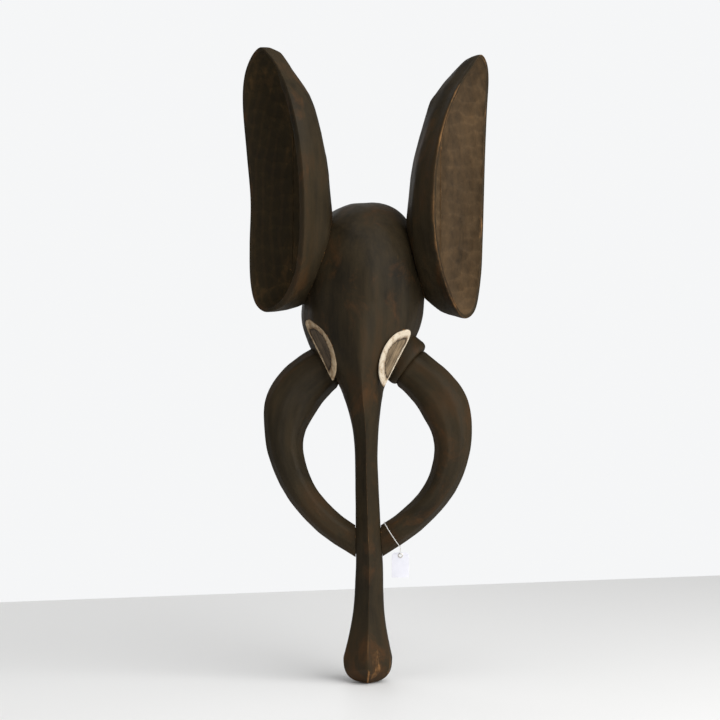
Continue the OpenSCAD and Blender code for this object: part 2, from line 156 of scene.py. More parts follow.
class Bench:
    """Makes meshes from rings, cuts and joins them, and keeps their attributes."""

    @staticmethod
    def loft(name: str, rings: np.ndarray, closed: bool = False) -> bpy.types.Object:
        """One closed mesh through a row of rings with the same even number of points.

        Args:
            name: Name of the object.
            rings: Points in millimetres, as (ring, point, xyz).
            closed: Whether the last ring leads back to the first.

        Returns:
            The object, with its faces pointing outwards.
        """
        m, n = rings.shape[:2]
        a = np.arange(m if closed else m - 1)[:, None] * n
        b = (np.arange(m if closed else m - 1)[:, None] + 1) % m * n
        j = np.arange(n)[None, :]
        k = (j + 1) % n
        quads = np.stack([a + j, a + k, b + k, b + j], axis=-1).reshape(-1, 4)
        if not closed:
            s = np.arange(n // 2 - 1)
            cap = np.stack([s, n - 1 - s, n - 2 - s, s + 1], axis=-1)
            quads = np.vstack([quads, cap, cap[:, ::-1] + (m - 1) * n])
        points = rings.reshape(-1, 3)
        p = points[quads]
        volume = np.einsum("ij,ij->", p[:, 0], np.cross(p[:, 1], p[:, 2])) + np.einsum(
            "ij,ij->", p[:, 0], np.cross(p[:, 2], p[:, 3])
        )
        if volume < 0:
            quads = quads[:, ::-1]
        return Bench.mesh(name, points, quads.tolist())

    @staticmethod
    def mesh(name: str, points: np.ndarray, faces: list) -> bpy.types.Object:
        """A smooth-shaded object from points in millimetres and their faces."""
        data = bpy.data.meshes.new(name)
        data.from_pydata((np.asarray(points) * MM).tolist(), [], faces)
        data.polygons.foreach_set("use_smooth", [True] * len(data.polygons))
        obj = bpy.data.objects.new(name, data)
        bpy.context.scene.collection.objects.link(obj)
        return obj

    @staticmethod
    def rod(
        name: str, start: np.ndarray, end: np.ndarray, radius: float, sides: int = 48
    ) -> bpy.types.Object:
        """A round rod between two points, used to bore holes.

        Args:
            name: Name of the object.
            start: Middle of one end, in millimetres.
            end: Middle of the other end.
            radius: Radius of the rod.
            sides: Points round it.

        Returns:
            The rod's object.
        """
        start, end = np.asarray(start, float), np.asarray(end, float)
        way = unit(end - start)
        across = unit(np.cross(way, [0.3, 0.2, 1.0]))
        deep = np.cross(way, across)
        t = np.linspace(0, 2 * np.pi, sides, endpoint=False)[:, None]
        ring = (across * np.cos(t) + deep * np.sin(t)) * radius
        return Bench.loft(name, np.stack([start + ring, end + ring]))

    @staticmethod
    def points(obj: bpy.types.Object) -> np.ndarray:
        """An object's points, in metres."""
        co = np.empty(len(obj.data.vertices) * 3, np.float32)
        obj.data.vertices.foreach_get("co", co)
        return co.reshape(-1, 3).astype(float)

    @staticmethod
    def normals(obj: bpy.types.Object) -> np.ndarray:
        """An object's point normals."""
        n = np.empty(len(obj.data.vertices) * 3, np.float32)
        obj.data.vertices.foreach_get("normal", n)
        return n.reshape(-1, 3).astype(float)

    @staticmethod
    def write(obj: bpy.types.Object, name: str, values: np.ndarray) -> None:
        """Stores numbers or vectors on an object's points, under a name.

        Args:
            obj: The object.
            name: Name of the numbers.
            values: One number or vector for each point.
        """
        vector = values.ndim == 2
        old = obj.data.attributes.get(name)
        if old:
            obj.data.attributes.remove(old)
        kind = "FLOAT_VECTOR" if vector else "FLOAT"
        layer = obj.data.attributes.new(name, kind, "POINT")
        layer.data.foreach_set("vector" if vector else "value", values.astype(np.float32).ravel())

    @staticmethod
    def read(obj: bpy.types.Object, name: str) -> np.ndarray:
        """The numbers stored on an object's points under a name."""
        values = np.zeros(len(obj.data.vertices), np.float32)
        layer = obj.data.attributes.get(name)
        if layer:
            layer.data.foreach_get("value", values)
        return values

    @staticmethod
    def carry(source: bpy.types.Object, target: bpy.types.Object, names: list[str]) -> None:
        """Copies numbers from each target point's nearest source point.

        Args:
            source: The object that has the numbers.
            target: The object that gets them.
            names: Names of the numbers.
        """
        tree = KDTree(len(source.data.vertices))
        for i, vertex in enumerate(source.data.vertices):
            tree.insert(vertex.co, i)
        tree.balance()
        index = np.array([tree.find(v.co)[1] for v in target.data.vertices])
        for name in names:
            Bench.write(target, name, Bench.read(source, name)[index])

    @staticmethod
    def bake(obj: bpy.types.Object) -> bpy.types.Object:
        """Turns an object's modifiers into its own plain mesh."""
        graph = bpy.context.evaluated_depsgraph_get()
        done = bpy.data.meshes.new_from_object(
            obj.evaluated_get(graph), preserve_all_data_layers=True, depsgraph=graph
        )
        old = obj.data
        obj.modifiers.clear()
        obj.data = done
        bpy.data.meshes.remove(old)
        return obj

    @staticmethod
    def cut(
        obj: bpy.types.Object,
        cutters: list[bpy.types.Object],
        keep: list[str],
        joins: list[bpy.types.Object] | None = None,
    ) -> None:
        """Joins some meshes to an object and then cuts others out of it.

        Args:
            obj: The object to work on.
            cutters: Closed meshes to cut away, which are used up.
            keep: Names of the numbers that the points take back after the cuts.
            joins: Closed meshes to join on first, which are used up.
        """
        source = obj.copy()
        source.data = obj.data.copy()
        steps = [(j, "UNION") for j in joins or []] + [(c, "DIFFERENCE") for c in cutters]
        for other, action in steps:
            step = obj.modifiers.new(action.lower(), "BOOLEAN")
            step.operation, step.solver, step.object = action, "MANIFOLD", other
        Bench.bake(obj)
        for other, _ in steps:
            bpy.data.objects.remove(other)
        Bench.carry(source, obj, keep)
        bpy.data.objects.remove(source)

    @staticmethod
    def wear(obj: bpy.types.Object, rounds: int = 2) -> None:
        """Stores how far each point stands out as an edge, in 1/mm, as "wear".

        Args:
            obj: The object.
            rounds: Rounds of smoothing.
        """
        p, n = Bench.points(obj) / MM, Bench.normals(obj)
        edges = np.empty(len(obj.data.edges) * 2, np.int32)
        obj.data.edges.foreach_get("vertices", edges)
        a, b = edges.reshape(-1, 2).T
        d = p[b] - p[a]
        size = np.maximum((d * d).sum(1), 0.01)
        bend = np.zeros(len(p))
        count = np.maximum(np.bincount(a, minlength=len(p)) + np.bincount(b, minlength=len(p)), 1)
        bend += np.bincount(a, -(d * n[a]).sum(1) / size, len(p))
        bend += np.bincount(b, (d * n[b]).sum(1) / size, len(p))
        bend /= count
        for _ in range(rounds):
            near = np.bincount(a, bend[b], len(p)) + np.bincount(b, bend[a], len(p))
            bend = 0.5 * bend + 0.5 * near / count
        Bench.write(obj, "wear", bend * 2)

    @staticmethod
    def finish(obj: bpy.types.Object, material: bpy.types.Material, crease: float = 38.0) -> None:
        """Shades an object smooth up to an edge angle, and gives it its material."""
        obj.data.polygons.foreach_set("use_smooth", [True] * len(obj.data.polygons))
        obj.data.set_sharp_from_angle(angle=math.radians(crease))
        obj.data.materials.clear()
        obj.data.materials.append(material)
        obj.data.update()

    @staticmethod
    def place(obj: bpy.types.Object, body: str, slot: str, *nodes: str) -> None:
        """Lets a piece ride on a body, and stand for the CAD nodes it replaces.

        Args:
            obj: The piece.
            body: Name of the body.
            slot: Name of the piece's material slot; not used.
            nodes: The CAD nodes that it replaces.
        """
        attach(obj, body)
        if nodes:
            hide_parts(*nodes)
        obj.data.calc_loop_triangles()
        log.info("%s: %d triangles on %s", obj.name, len(obj.data.loop_triangles), body)


class Tree:
    """A short way to add and link nodes in a node tree."""

    def __init__(self, tree: bpy.types.NodeTree) -> None:
        """Works on a node tree."""
        self.tree = tree

    def add(self, kind: str, settings: dict | None = None, **inputs: object) -> bpy.types.Node:
        """Adds a node.

        Args:
            kind: The node's type.
            settings: Properties to set before its inputs are.
            inputs: Input sockets by name, with _ for a space, or by number after i.
                A value is set on the socket, and an output socket is linked to it.

        Returns:
            The node.
        """
        node = self.tree.nodes.new(kind)
        for name, value in (settings or {}).items():
            setattr(node, name, value)
        for name, value in inputs.items():
            if name[0] == "i" and name[1:].isdigit():
                socket = node.inputs[int(name[1:])]
            else:
                socket = next(s for s in node.inputs if s.name == name.replace("_", " ") and s.enabled)
            if isinstance(value, bpy.types.NodeSocket):
                self.tree.links.new(value, socket)
            else:
                socket.default_value = value
        return node

    def math(self, operation: str, a: object, b: object = 0.0, c: object = 0.0) -> bpy.types.NodeSocket:
        """The output of a math node."""
        return self.add("ShaderNodeMath", {"operation": operation}, i0=a, i1=b, i2=c).outputs[0]

    def noise(
        self, place: bpy.types.NodeSocket, scale: float, detail: float, rough: float = 0.5
    ) -> bpy.types.NodeSocket:
        """The output of a noise texture at a place."""
        sizes = {"Scale": scale, "Detail": detail, "Roughness": rough}
        return self.add("ShaderNodeTexNoise", Vector=place, **sizes).outputs[0]

    def vector(self, operation: str, a: object, b: object = (0.0, 0.0, 0.0)) -> bpy.types.Node:
        """A vector math node on two vectors."""
        return self.add("ShaderNodeVectorMath", {"operation": operation}, i0=a, i1=b)


def new_group(name: str, inputs: dict[str, str]) -> Tree:
    """A new Geometry Nodes tree that takes a geometry and gives one back.

    Args:
        name: The tree's name.
        inputs: Name and kind of each input after the geometry.

    Returns:
        The tree's nodes.
    """
    group = bpy.data.node_groups.new(name, "GeometryNodeTree")
    for socket, kind in {"Geometry": "Geometry", **inputs}.items():
        group.interface.new_socket(name=socket, in_out="INPUT", socket_type=f"NodeSocket{kind}")
    group.interface.new_socket(name="Geometry", in_out="OUTPUT", socket_type="NodeSocketGeometry")
    return Tree(group)


@dataclass(frozen=True)
class AdzeMarks:
    """Scooped tool marks over a whole surface, made by Geometry Nodes.

    Args:
        spacing: Distance between marks, in millimetres.
        depth: Depth of a mark, in millimetres.
        stretch: How the surface's own directions count in a mark's shape: a
            smaller number makes the marks longer that way.
        lift: How much deeper each mark is at one end, as a share of its depth.
        wobble: Height of the slow unevenness of the surface, in millimetres.
        wobble_size: Width of its swells, in millimetres.
        seed: Fixed seed for the marks' places.
    """

    spacing: float
    depth: float
    stretch: Triple = (1.0, 1.0, 0.5)
    lift: float = 0.0
    wobble: float = 0.0
    wobble_size: float = 60.0
    seed: int = 1

    @staticmethod
    def tree() -> bpy.types.NodeTree:
        """The node tree, built once and shared."""
        known = bpy.data.node_groups.get("adze_marks")
        if known:
            return known
        sizes = dict.fromkeys(("Spacing", "Depth", "Lift", "Wobble", "Wobble size"), "Float")
        t = new_group("adze_marks", {**sizes, "Stretch": "Vector", "Seed": "Int", "Finish": "Material"})
        given = t.add("NodeGroupInput").outputs
        grain = t.add("GeometryNodeInputNamedAttribute", {"data_type": "FLOAT_VECTOR"}, Name="grain")
        carve = t.add("GeometryNodeInputNamedAttribute", {"data_type": "FLOAT"}, Name="carve")
        stretched = t.vector("MULTIPLY", grain.outputs[0], given["Stretch"]).outputs[0]
        # The density is high enough for the spacing alone to decide how many marks there are.
        thick = t.math("DIVIDE", 3.0, t.math("MULTIPLY", given["Spacing"], given["Spacing"]))
        spots = t.add(
            "GeometryNodeDistributePointsOnFaces", {"distribute_method": "POISSON"},
            Mesh=given["Geometry"], Distance_Min=given["Spacing"], Density_Max=thick, Seed=given["Seed"],
        )
        moved = t.add("GeometryNodeSetPosition", Geometry=spots.outputs["Points"], Position=stretched)
        near = t.add("GeometryNodeSampleNearest", Geometry=moved.outputs[0], Sample_Position=stretched)
        place = t.add("GeometryNodeInputPosition").outputs[0]
        middle = t.add(
            "GeometryNodeSampleIndex", {"data_type": "FLOAT_VECTOR", "domain": "POINT"},
            Geometry=moved.outputs[0], Value=place, Index=near.outputs[0],
        ).outputs[0]
        weak, strong = 0.45, 1.35
        chance = t.add(
            "FunctionNodeRandomValue", {"data_type": "FLOAT"}, Min=weak, Max=strong, Seed=given["Seed"]
        )
        strength = t.add(
            "GeometryNodeSampleIndex", {"data_type": "FLOAT", "domain": "POINT"},
            Geometry=moved.outputs[0], Value=chance.outputs[1], Index=near.outputs[0],
        ).outputs[0]
        off = t.vector("SUBTRACT", stretched, middle).outputs[0]
        square = t.vector("DOT_PRODUCT", off, off).outputs["Value"]
        reach = t.math("MULTIPLY", given["Spacing"], given["Spacing"])
        edge = 0.6
        bowl = t.math("MINIMUM", t.math("DIVIDE", square, t.math("MULTIPLY", reach, edge)), 1.0)
        part = t.add("ShaderNodeSeparateXYZ", i0=off).outputs["Z"]
        ramp = t.math("MULTIPLY", t.math("DIVIDE", part, given["Spacing"]), given["Lift"])
        shape = t.math("ADD", t.math("SUBTRACT", bowl, 1.0), ramp)
        height = t.math("MULTIPLY", t.math("MULTIPLY", shape, given["Depth"]), strength)
        scaled = t.vector("SCALE", grain.outputs[0])
        t.tree.links.new(t.math("DIVIDE", 1.0, given["Wobble size"]), scaled.inputs["Scale"])
        noise = t.add("ShaderNodeTexNoise", Vector=scaled.outputs[0], Scale=1.0, Detail=1.0)
        swell = t.math("MULTIPLY", t.math("SUBTRACT", noise.outputs[0], 0.5), given["Wobble"])
        total = t.math("MULTIPLY", t.math("ADD", height, swell), carve.outputs[0])
        soft = t.add("GeometryNodeBlurAttribute", {"data_type": "FLOAT"}, Value=total, Iterations=1)
        push = t.vector("SCALE", t.add("GeometryNodeInputNormal").outputs[0])
        t.tree.links.new(soft.outputs[0], push.inputs["Scale"])
        kept = t.add(
            "GeometryNodeStoreNamedAttribute", {"data_type": "FLOAT", "domain": "POINT"},
            Geometry=given["Geometry"], Name="ridge", Value=shape,
        )
        out = t.add("GeometryNodeSetPosition", Geometry=kept.outputs[0], Offset=push.outputs[0])
        real = t.add("GeometryNodeRealizeInstances", Geometry=out.outputs[0])
        dressed = t.add("GeometryNodeSetMaterial", Geometry=real.outputs[0], Material=given["Finish"])
        t.add("NodeGroupOutput", i0=dressed.outputs[0])
        return t.tree

    def carve(self, obj: bpy.types.Object, material: bpy.types.Material) -> bpy.types.Object:
        """Carves the marks into an object that has "grain" and "carve" attributes."""
        set_nodes(
            obj, self.tree(),
            {
                "Spacing": self.spacing * MM, "Depth": self.depth * MM, "Lift": self.lift,
                "Wobble": self.wobble * MM, "Wobble size": self.wobble_size * MM,
                "Stretch": self.stretch, "Seed": self.seed, "Finish": material,
            },
        )
        return Bench.bake(obj)


def set_nodes(obj: bpy.types.Object, group: bpy.types.NodeTree, values: dict) -> None:
    """Puts a Geometry Nodes tree on an object, with its inputs set by socket identifier.

    Args:
        obj: The object.
        group: The node tree.
        values: Each input's value, by the input's name.
    """
    step = obj.modifiers.new(group.name, "NODES")
    step.node_group = group
    for item in group.interface.items_tree:
        if item.item_type == "SOCKET" and item.in_out == "INPUT" and item.name in values:
            value = values[item.name]
            step[item.identifier] = list(value) if isinstance(value, tuple) else value


# ---- Finishes --------------------------------------------------------------


def blank(name: str) -> tuple[bpy.types.Material, Tree]:
    """A new material and its empty node tree."""
    material = bpy.data.materials.new(name)
    material.use_nodes = True
    material.node_tree.nodes.clear()
    return material, Tree(material.node_tree)


def surface(t: Tree, **inputs: object) -> None:
    """Gives a material its surface.

    Args:
        t: The material's nodes.
        inputs: Inputs of the surface's shader, by name.
    """
    shader = t.add("ShaderNodeBsdfPrincipled", **inputs)
    t.add("ShaderNodeOutputMaterial", Surface=shader.outputs[0])


def weigh(t: Tree, *parts: tuple[bpy.types.NodeSocket, float]) -> bpy.types.NodeSocket:
    """The sum of some values, each times its share."""
    total, *others = [t.math("MULTIPLY", value, share) for value, share in parts]
    for other in others:
        total = t.math("ADD", total, other)
    return total


@dataclass(frozen=True)
class StainedWood:
    """Dark stained wood: streaks, mottling, rust, worn edges, a satin polish, and painted shade in the scoops
    of a dished face.

    Args:
        dark: Colour of the deepest stain.
        brown: Colour of the common stain.
        warm: Colour of the rusty patches.
        worn: Colour of bare wood on worn edges.
        bowl: Colour of the wood in a dished face, where "dish" is 1.
        bowl_dark: The darker streaks of that face, and the painted shade in its scoops.
        worn_at: Edge value where wear begins, in 1/mm.
        worn_full: Edge value where wear is complete.
        sheen: Lowest roughness of the polish.
        seed: Shift of all patterns.
    """

    name: str
    dark: Colour = (0.0115, 0.0085, 0.0042)
    brown: Colour = (0.028, 0.0195, 0.0092)
    warm: Colour = (0.072, 0.032, 0.0105)
    worn: Colour = (0.30, 0.150, 0.055)
    bowl: Colour = (0.080, 0.050, 0.024)
    bowl_dark: Colour = (0.030, 0.019, 0.009)
    worn_at: float = 0.10
    worn_full: float = 0.42
    sheen: float = 0.46
    seed: float = 0.0

    def make(self) -> bpy.types.Material:
        """The material."""
        material, t = blank(self.name)
        grain = attribute(t, "grain", "Vector")
        edge = attribute(t, "wear", "Fac")
        dish = attribute(t, "dish", "Fac")
        ridge = attribute(t, "ridge", "Fac")
        chip = attribute(t, "chip", "Fac")

        streak = self.noise(t, grain, (95, 95, 7), 1.0, 5, 0.62)
        fibre = self.noise(t, grain, (620, 620, 26), 1.0, 3, 0.6)
        patch = self.noise(t, grain, (13, 13, 7), 1.0, 5, 0.6, 0.4)
        fleck = self.noise(t, grain, (150, 150, 90), 1.0, 4, 0.65)
        rust = self.noise(t, grain, (21, 21, 14), 1.0, 5, 0.68, 0.6)
        rub = self.noise(t, grain, (60, 60, 24), 1.0, 5, 0.7)

        # Stain, with rusty patches.
        tone = weigh(t, (patch, 0.72), (streak, 0.28))
        ruddy = blend(self.brown, self.warm, 0.45)
        base = ramp(t, tone, [(0.36, self.dark), (0.52, self.brown), (0.70, ruddy)])
        rust = t.math("ADD", rust, t.math("MULTIPLY", chip, 0.35))
        rusty = t.math("MULTIPLY", rise(t, rust, 0.52, 0.74), 0.60)
        base = mix(t, rusty, base, self.warm)

        # The dished face: faint growth rings, and painted shade in the deepest part of each scoop.
        rings = t.add(
            "ShaderNodeTexWave",
            {"wave_type": "RINGS", "rings_direction": "SPHERICAL", "wave_profile": "SIN"},
            Vector=shifted(t, grain, (0, 0, 0), (1, 0.9, 0.42)),
            Scale=30.0, Distortion=3.5, Detail=3.0, Detail_Scale=1.6, Detail_Roughness=0.62,
        ).outputs["Color"]
        lines = rise(t, rings, 0.55, 0.98)
        pale = blend(self.bowl, self.worn, 0.25)
        inner = weigh(t, (patch, 0.7), (fleck, 0.3))
        inner = ramp(t, inner, [(0.33, self.bowl_dark), (0.55, self.bowl), (0.74, pale)])
        inner = mix(t, t.math("MULTIPLY", lines, 0.08), inner, blend(self.bowl, self.worn, 0.3))
        # Painted shade: the deepest part of each adze scoop is darkened.
        low = rise(t, t.math("MULTIPLY", ridge, -1.0), 0.1, 0.95)
        inner = mix(t, t.math("MULTIPLY", low, 0.30), inner, self.bowl_dark)
        colour = mix(t, dish, base, inner)

        # Bare wood on worn edges and in chips.
        uneven = t.math("MULTIPLY", t.math("SUBTRACT", rub, 0.5), 0.62)
        bare = rise(t, t.math("ADD", edge, uneven), self.worn_at, self.worn_full)
        ragged = t.math("MULTIPLY", t.math("SUBTRACT", rub, 0.5), 1.6)
        scuffs = rise(t, t.math("ADD", chip, ragged), 0.45, 0.8)
        bare = t.math("MAXIMUM", bare, t.math("MULTIPLY", scuffs, rise(t, chip, 0.02, 0.2)))
        hue = ramp(t, fleck, [(0.35, blend(self.warm, self.worn, 0.35)), (0.62, self.worn)])
        colour = mix(t, t.math("MULTIPLY", bare, 0.85), colour, hue)

        # Polish, duller where the wood is bare or dished.
        polish = t.math("MULTIPLY_ADD", patch, 0.30, self.sheen - 0.10)
        polish = t.math("ADD", polish, t.math("MULTIPLY", fleck, 0.16))
        polish = t.math("ADD", polish, t.math("MULTIPLY", dish, 0.12))
        rough = t.math("MINIMUM", t.math("ADD", polish, t.math("MULTIPLY", bare, 0.15)), 0.9)

        # Fine relief of the grain.
        plain = t.math("SUBTRACT", 1.0, t.math("MULTIPLY", dish, 0.85))
        relief = weigh(t, (fibre, 0.35), (streak, 0.3))
        relief = t.math("MULTIPLY", relief, plain)
        relief = t.math("ADD", relief, t.math("MULTIPLY", fleck, 0.25))
        relief = t.math("ADD", relief, t.math("MULTIPLY", t.math("MULTIPLY", lines, dish), 0.10))
        bump = t.add("ShaderNodeBump", Strength=0.55, Distance=0.0009, Height=relief)
        surface(
            t, Base_Color=colour, Roughness=rough, Normal=bump.outputs[0], IOR=1.48, Specular_IOR_Level=0.12
        )
        return material

    def noise(
        self, t: Tree, grain: bpy.types.NodeSocket, stretch: Triple, scale: float,
        detail: float, rough: float, warp: float = 0.0,
    ) -> bpy.types.NodeSocket:
        """A noise over the grain, with its own fineness along each of the wood's directions."""
        place = shifted(t, grain, (self.seed, self.seed * 0.7, self.seed * 1.3), stretch)
        return t.add(
            "ShaderNodeTexNoise", Vector=place, Scale=scale, Detail=detail, Roughness=rough, Distortion=warp
        ).outputs[0]


def attribute(t: Tree, name: str, output: str) -> bpy.types.NodeSocket:
    """A number or vector stored on the piece's points."""
    return t.add("ShaderNodeAttribute", {"attribute_name": name}).outputs[output]


def shifted(t: Tree, place: bpy.types.NodeSocket, by: Triple, scale: Triple) -> bpy.types.NodeSocket:
    """A place moved and then scaled."""
    moved = t.vector("ADD", place, by).outputs[0]
    return t.add("ShaderNodeMapping", Vector=moved, Scale=scale).outputs[0]


def rise(t: Tree, value: bpy.types.NodeSocket, low: float, high: float) -> bpy.types.NodeSocket:
    """Rises smoothly from 0 at low to 1 at high."""
    return t.add(
        "ShaderNodeMapRange", {"interpolation_type": "SMOOTHSTEP"},
        Value=value, From_Min=low, From_Max=high, To_Min=0.0, To_Max=1.0,
    ).outputs[0]


def mix(t: Tree, share: object, a: object, b: object) -> bpy.types.NodeSocket:
    """The mix of two colours, by the share of the second.

    Args:
        t: The material's nodes.
        share: Share of the second colour.
        a: The first colour.
        b: The second colour.

    Returns:
        The mixed colour.
    """
    node = t.add("ShaderNodeMix", {"data_type": "RGBA"})
    for socket, value in ((node.inputs[0], share), (node.inputs[6], a), (node.inputs[7], b)):
        if isinstance(value, bpy.types.NodeSocket):
            t.tree.links.new(value, socket)
        else:
            socket.default_value = (*value, 1.0) if isinstance(value, tuple) else value
    return node.outputs[2]


def ramp(t: Tree, value: bpy.types.NodeSocket, stops: list[tuple[float, Colour]]) -> bpy.types.NodeSocket:
    """A colour read from a row of stops.

    Args:
        t: The material's nodes.
        value: The place along the row.
        stops: A place and a colour for each stop.

    Returns:
        The colour.
    """
    node = t.add("ShaderNodeValToRGB", Fac=value)
    row = node.color_ramp.elements
    while len(row) < len(stops):
        row.new(0.5)
    for element, (at, colour) in zip(row, stops):
        element.position, element.color = at, (*colour, 1.0)
    return node.outputs[0]


def blend(a: Colour, b: Colour, share: float) -> Colour:
    """A colour between two others."""
    return tuple(x + (y - x) * share for x, y in zip(a, b))


@dataclass(frozen=True)
class Clay:
    """White clay, rubbed and stained, with fine cracks and painted shade along its inner edge.

    Args:
        pale: Colour of clean clay.
        stain: Colour of the stains and cracks.
        dirt: How much of the clay is stained, from 0 to 1.
        edge_shade: Colour of the painted shade along the inner edge.
    """

    name: str
    pale: Colour
    stain: Colour = (0.32, 0.20, 0.10)
    dirt: float = 0.5
    edge_shade: Colour = (0.02, 0.013, 0.008)

    def make(self) -> bpy.types.Material:
        """The material."""
        material, t = blank(self.name)
        place = t.add("ShaderNodeTexCoord").outputs["Object"]
        slow = t.noise(place, 120.0, 5.0, 0.65)
        fine = t.noise(place, 900.0, 4.0, 0.7)
        crack = t.add(
            "ShaderNodeTexVoronoi", {"feature": "DISTANCE_TO_EDGE"}, Vector=place, Scale=190.0
        ).outputs[0]
        line = t.math("SUBTRACT", 1.0, rise(t, crack, 0.0, 0.05))
        line = t.math("MULTIPLY", line, rise(t, slow, 0.42, 0.62))
        dirty = t.math("MULTIPLY", rise(t, slow, 0.62 - self.dirt * 0.3, 0.82 - self.dirt * 0.2), 0.75)
        colour = mix(t, dirty, self.pale, self.stain)
        colour = mix(t, t.math("MULTIPLY", fine, 0.22), colour, blend(self.pale, self.stain, 0.45))
        colour = mix(t, t.math("MULTIPLY", line, 0.5), colour, self.stain)
        # Painted shade along the clay's inner edge, where it drops to the floor.
        edge = t.math("ADD", attribute(t, "rim", "Fac"), t.math("MULTIPLY", fine, 0.5))
        inner_shade_share = t.math("MULTIPLY", rise(t, edge, 0.75, 1.25), 0.9)
        colour = mix(t, inner_shade_share, colour, blend(self.stain, self.edge_shade, 0.5))
        height = t.math("SUBTRACT", t.math("ADD", fine, slow), line)
        bump = t.add("ShaderNodeBump", Strength=0.6, Distance=0.0006, Height=height)
        surface(t, Base_Color=colour, Roughness=0.85, Normal=bump.outputs[0], Specular_IOR_Level=0.25)
        return material


@dataclass(frozen=True)
class ScratchedWood:
    """Brown wood with scratches along one way, on the eyes' floors, with painted shade beside the clay.

    Args:
        dark: Colour of the wood.
        pale: Colour of the scratches.
        edge_shade: Colour of the painted shade beside the clay.
    """

    name: str
    dark: Colour
    pale: Colour
    edge_shade: Colour = (0.005, 0.004, 0.003)

    def make(self) -> bpy.types.Material:
        """The material."""
        material, t = blank(self.name)
        grain = attribute(t, "grain", "Vector")
        lines = t.add(
            "ShaderNodeTexNoise", Vector=shifted(t, grain, (0, 0, 0), (1150, 34, 34)), Scale=1.0,
            Detail=3.0, Roughness=0.6, Distortion=0.25,
        ).outputs[0]
        slow = t.add(
            "ShaderNodeTexNoise", Vector=shifted(t, grain, (0.3, 0, 0), (90, 40, 40)), Scale=1.0, Detail=4.0
        ).outputs[0]
        tone = weigh(t, (lines, 0.6), (slow, 0.4))
        middling = blend(self.dark, self.pale, 0.55)
        colour = ramp(t, tone, [(0.38, self.dark), (0.50, middling), (0.64, self.pale)])
        # Painted shade on the floor beside the clay's raised edge.
        rim = attribute(t, "rim", "Fac")
        colour = mix(t, rise(t, rim, 0.35, 1.0), colour, blend(self.dark, self.edge_shade, 0.5))
        bump = t.add("ShaderNodeBump", Strength=0.7, Distance=0.0006, Height=lines)
        surface(t, Base_Color=colour, Roughness=0.62, Normal=bump.outputs[0], Specular_IOR_Level=0.3)
        return material


@dataclass(frozen=True)
class Fibre:
    """Cotton thread or card: a pale, matt, fibrous surface.

    Args:
        pale: Colour of most of the fibres.
        shade: Colour of the darkest fibres.
        size: How many fibres there are to a metre.
        relief: Height of the fibres, in metres.
        soft: Strength of the soft sheen.
    """

    name: str
    pale: Colour = (0.78, 0.77, 0.74)
    shade: Colour = (0.55, 0.54, 0.52)
    size: float = 2500.0
    relief: float = 0.0002
    soft: float = 0.3

    def make(self) -> bpy.types.Material:
        """The material."""
        material, t = blank(self.name)
        place = t.add("ShaderNodeTexCoord").outputs["Object"]
        fine = t.noise(place, self.size, 4.0, 0.7)
        slow = t.noise(place, self.size * 0.08, 3.0)
        colour = ramp(t, weigh(t, (fine, 0.6), (slow, 0.4)), [(0.3, self.shade), (0.6, self.pale)])
        bump = t.add("ShaderNodeBump", Strength=0.5, Distance=self.relief, Height=fine)
        surface(t, Base_Color=colour, Roughness=0.8, Normal=bump.outputs[0], Sheen_Weight=self.soft)
        return material


@dataclass(frozen=True)
class PlatedMetal:
    """Thin stamped metal with a pale plating, a little dulled.

    Args:
        dull: Colour of its specks.
    """

    name: str = "dull_plate"
    dull: Colour = (0.50, 0.47, 0.42)
    bright: Colour = (0.72, 0.69, 0.63)

    def make(self) -> bpy.types.Material:
        """The material."""
        material, t = blank(self.name)
        place = t.add("ShaderNodeTexCoord").outputs["Object"]
        fine = t.noise(place, 1400.0, 4.0)
        colour = ramp(t, fine, [(0.35, self.dull), (0.65, self.bright)])
        rough = t.math("MULTIPLY_ADD", fine, 0.3, 0.2)
        bump = t.add("ShaderNodeBump", Strength=0.3, Distance=0.0001, Height=fine)
        surface(t, Base_Color=colour, Metallic=1.0, Roughness=rough, Normal=bump.outputs[0])
        return material


# ---- Forms that the pieces share -------------------------------------------


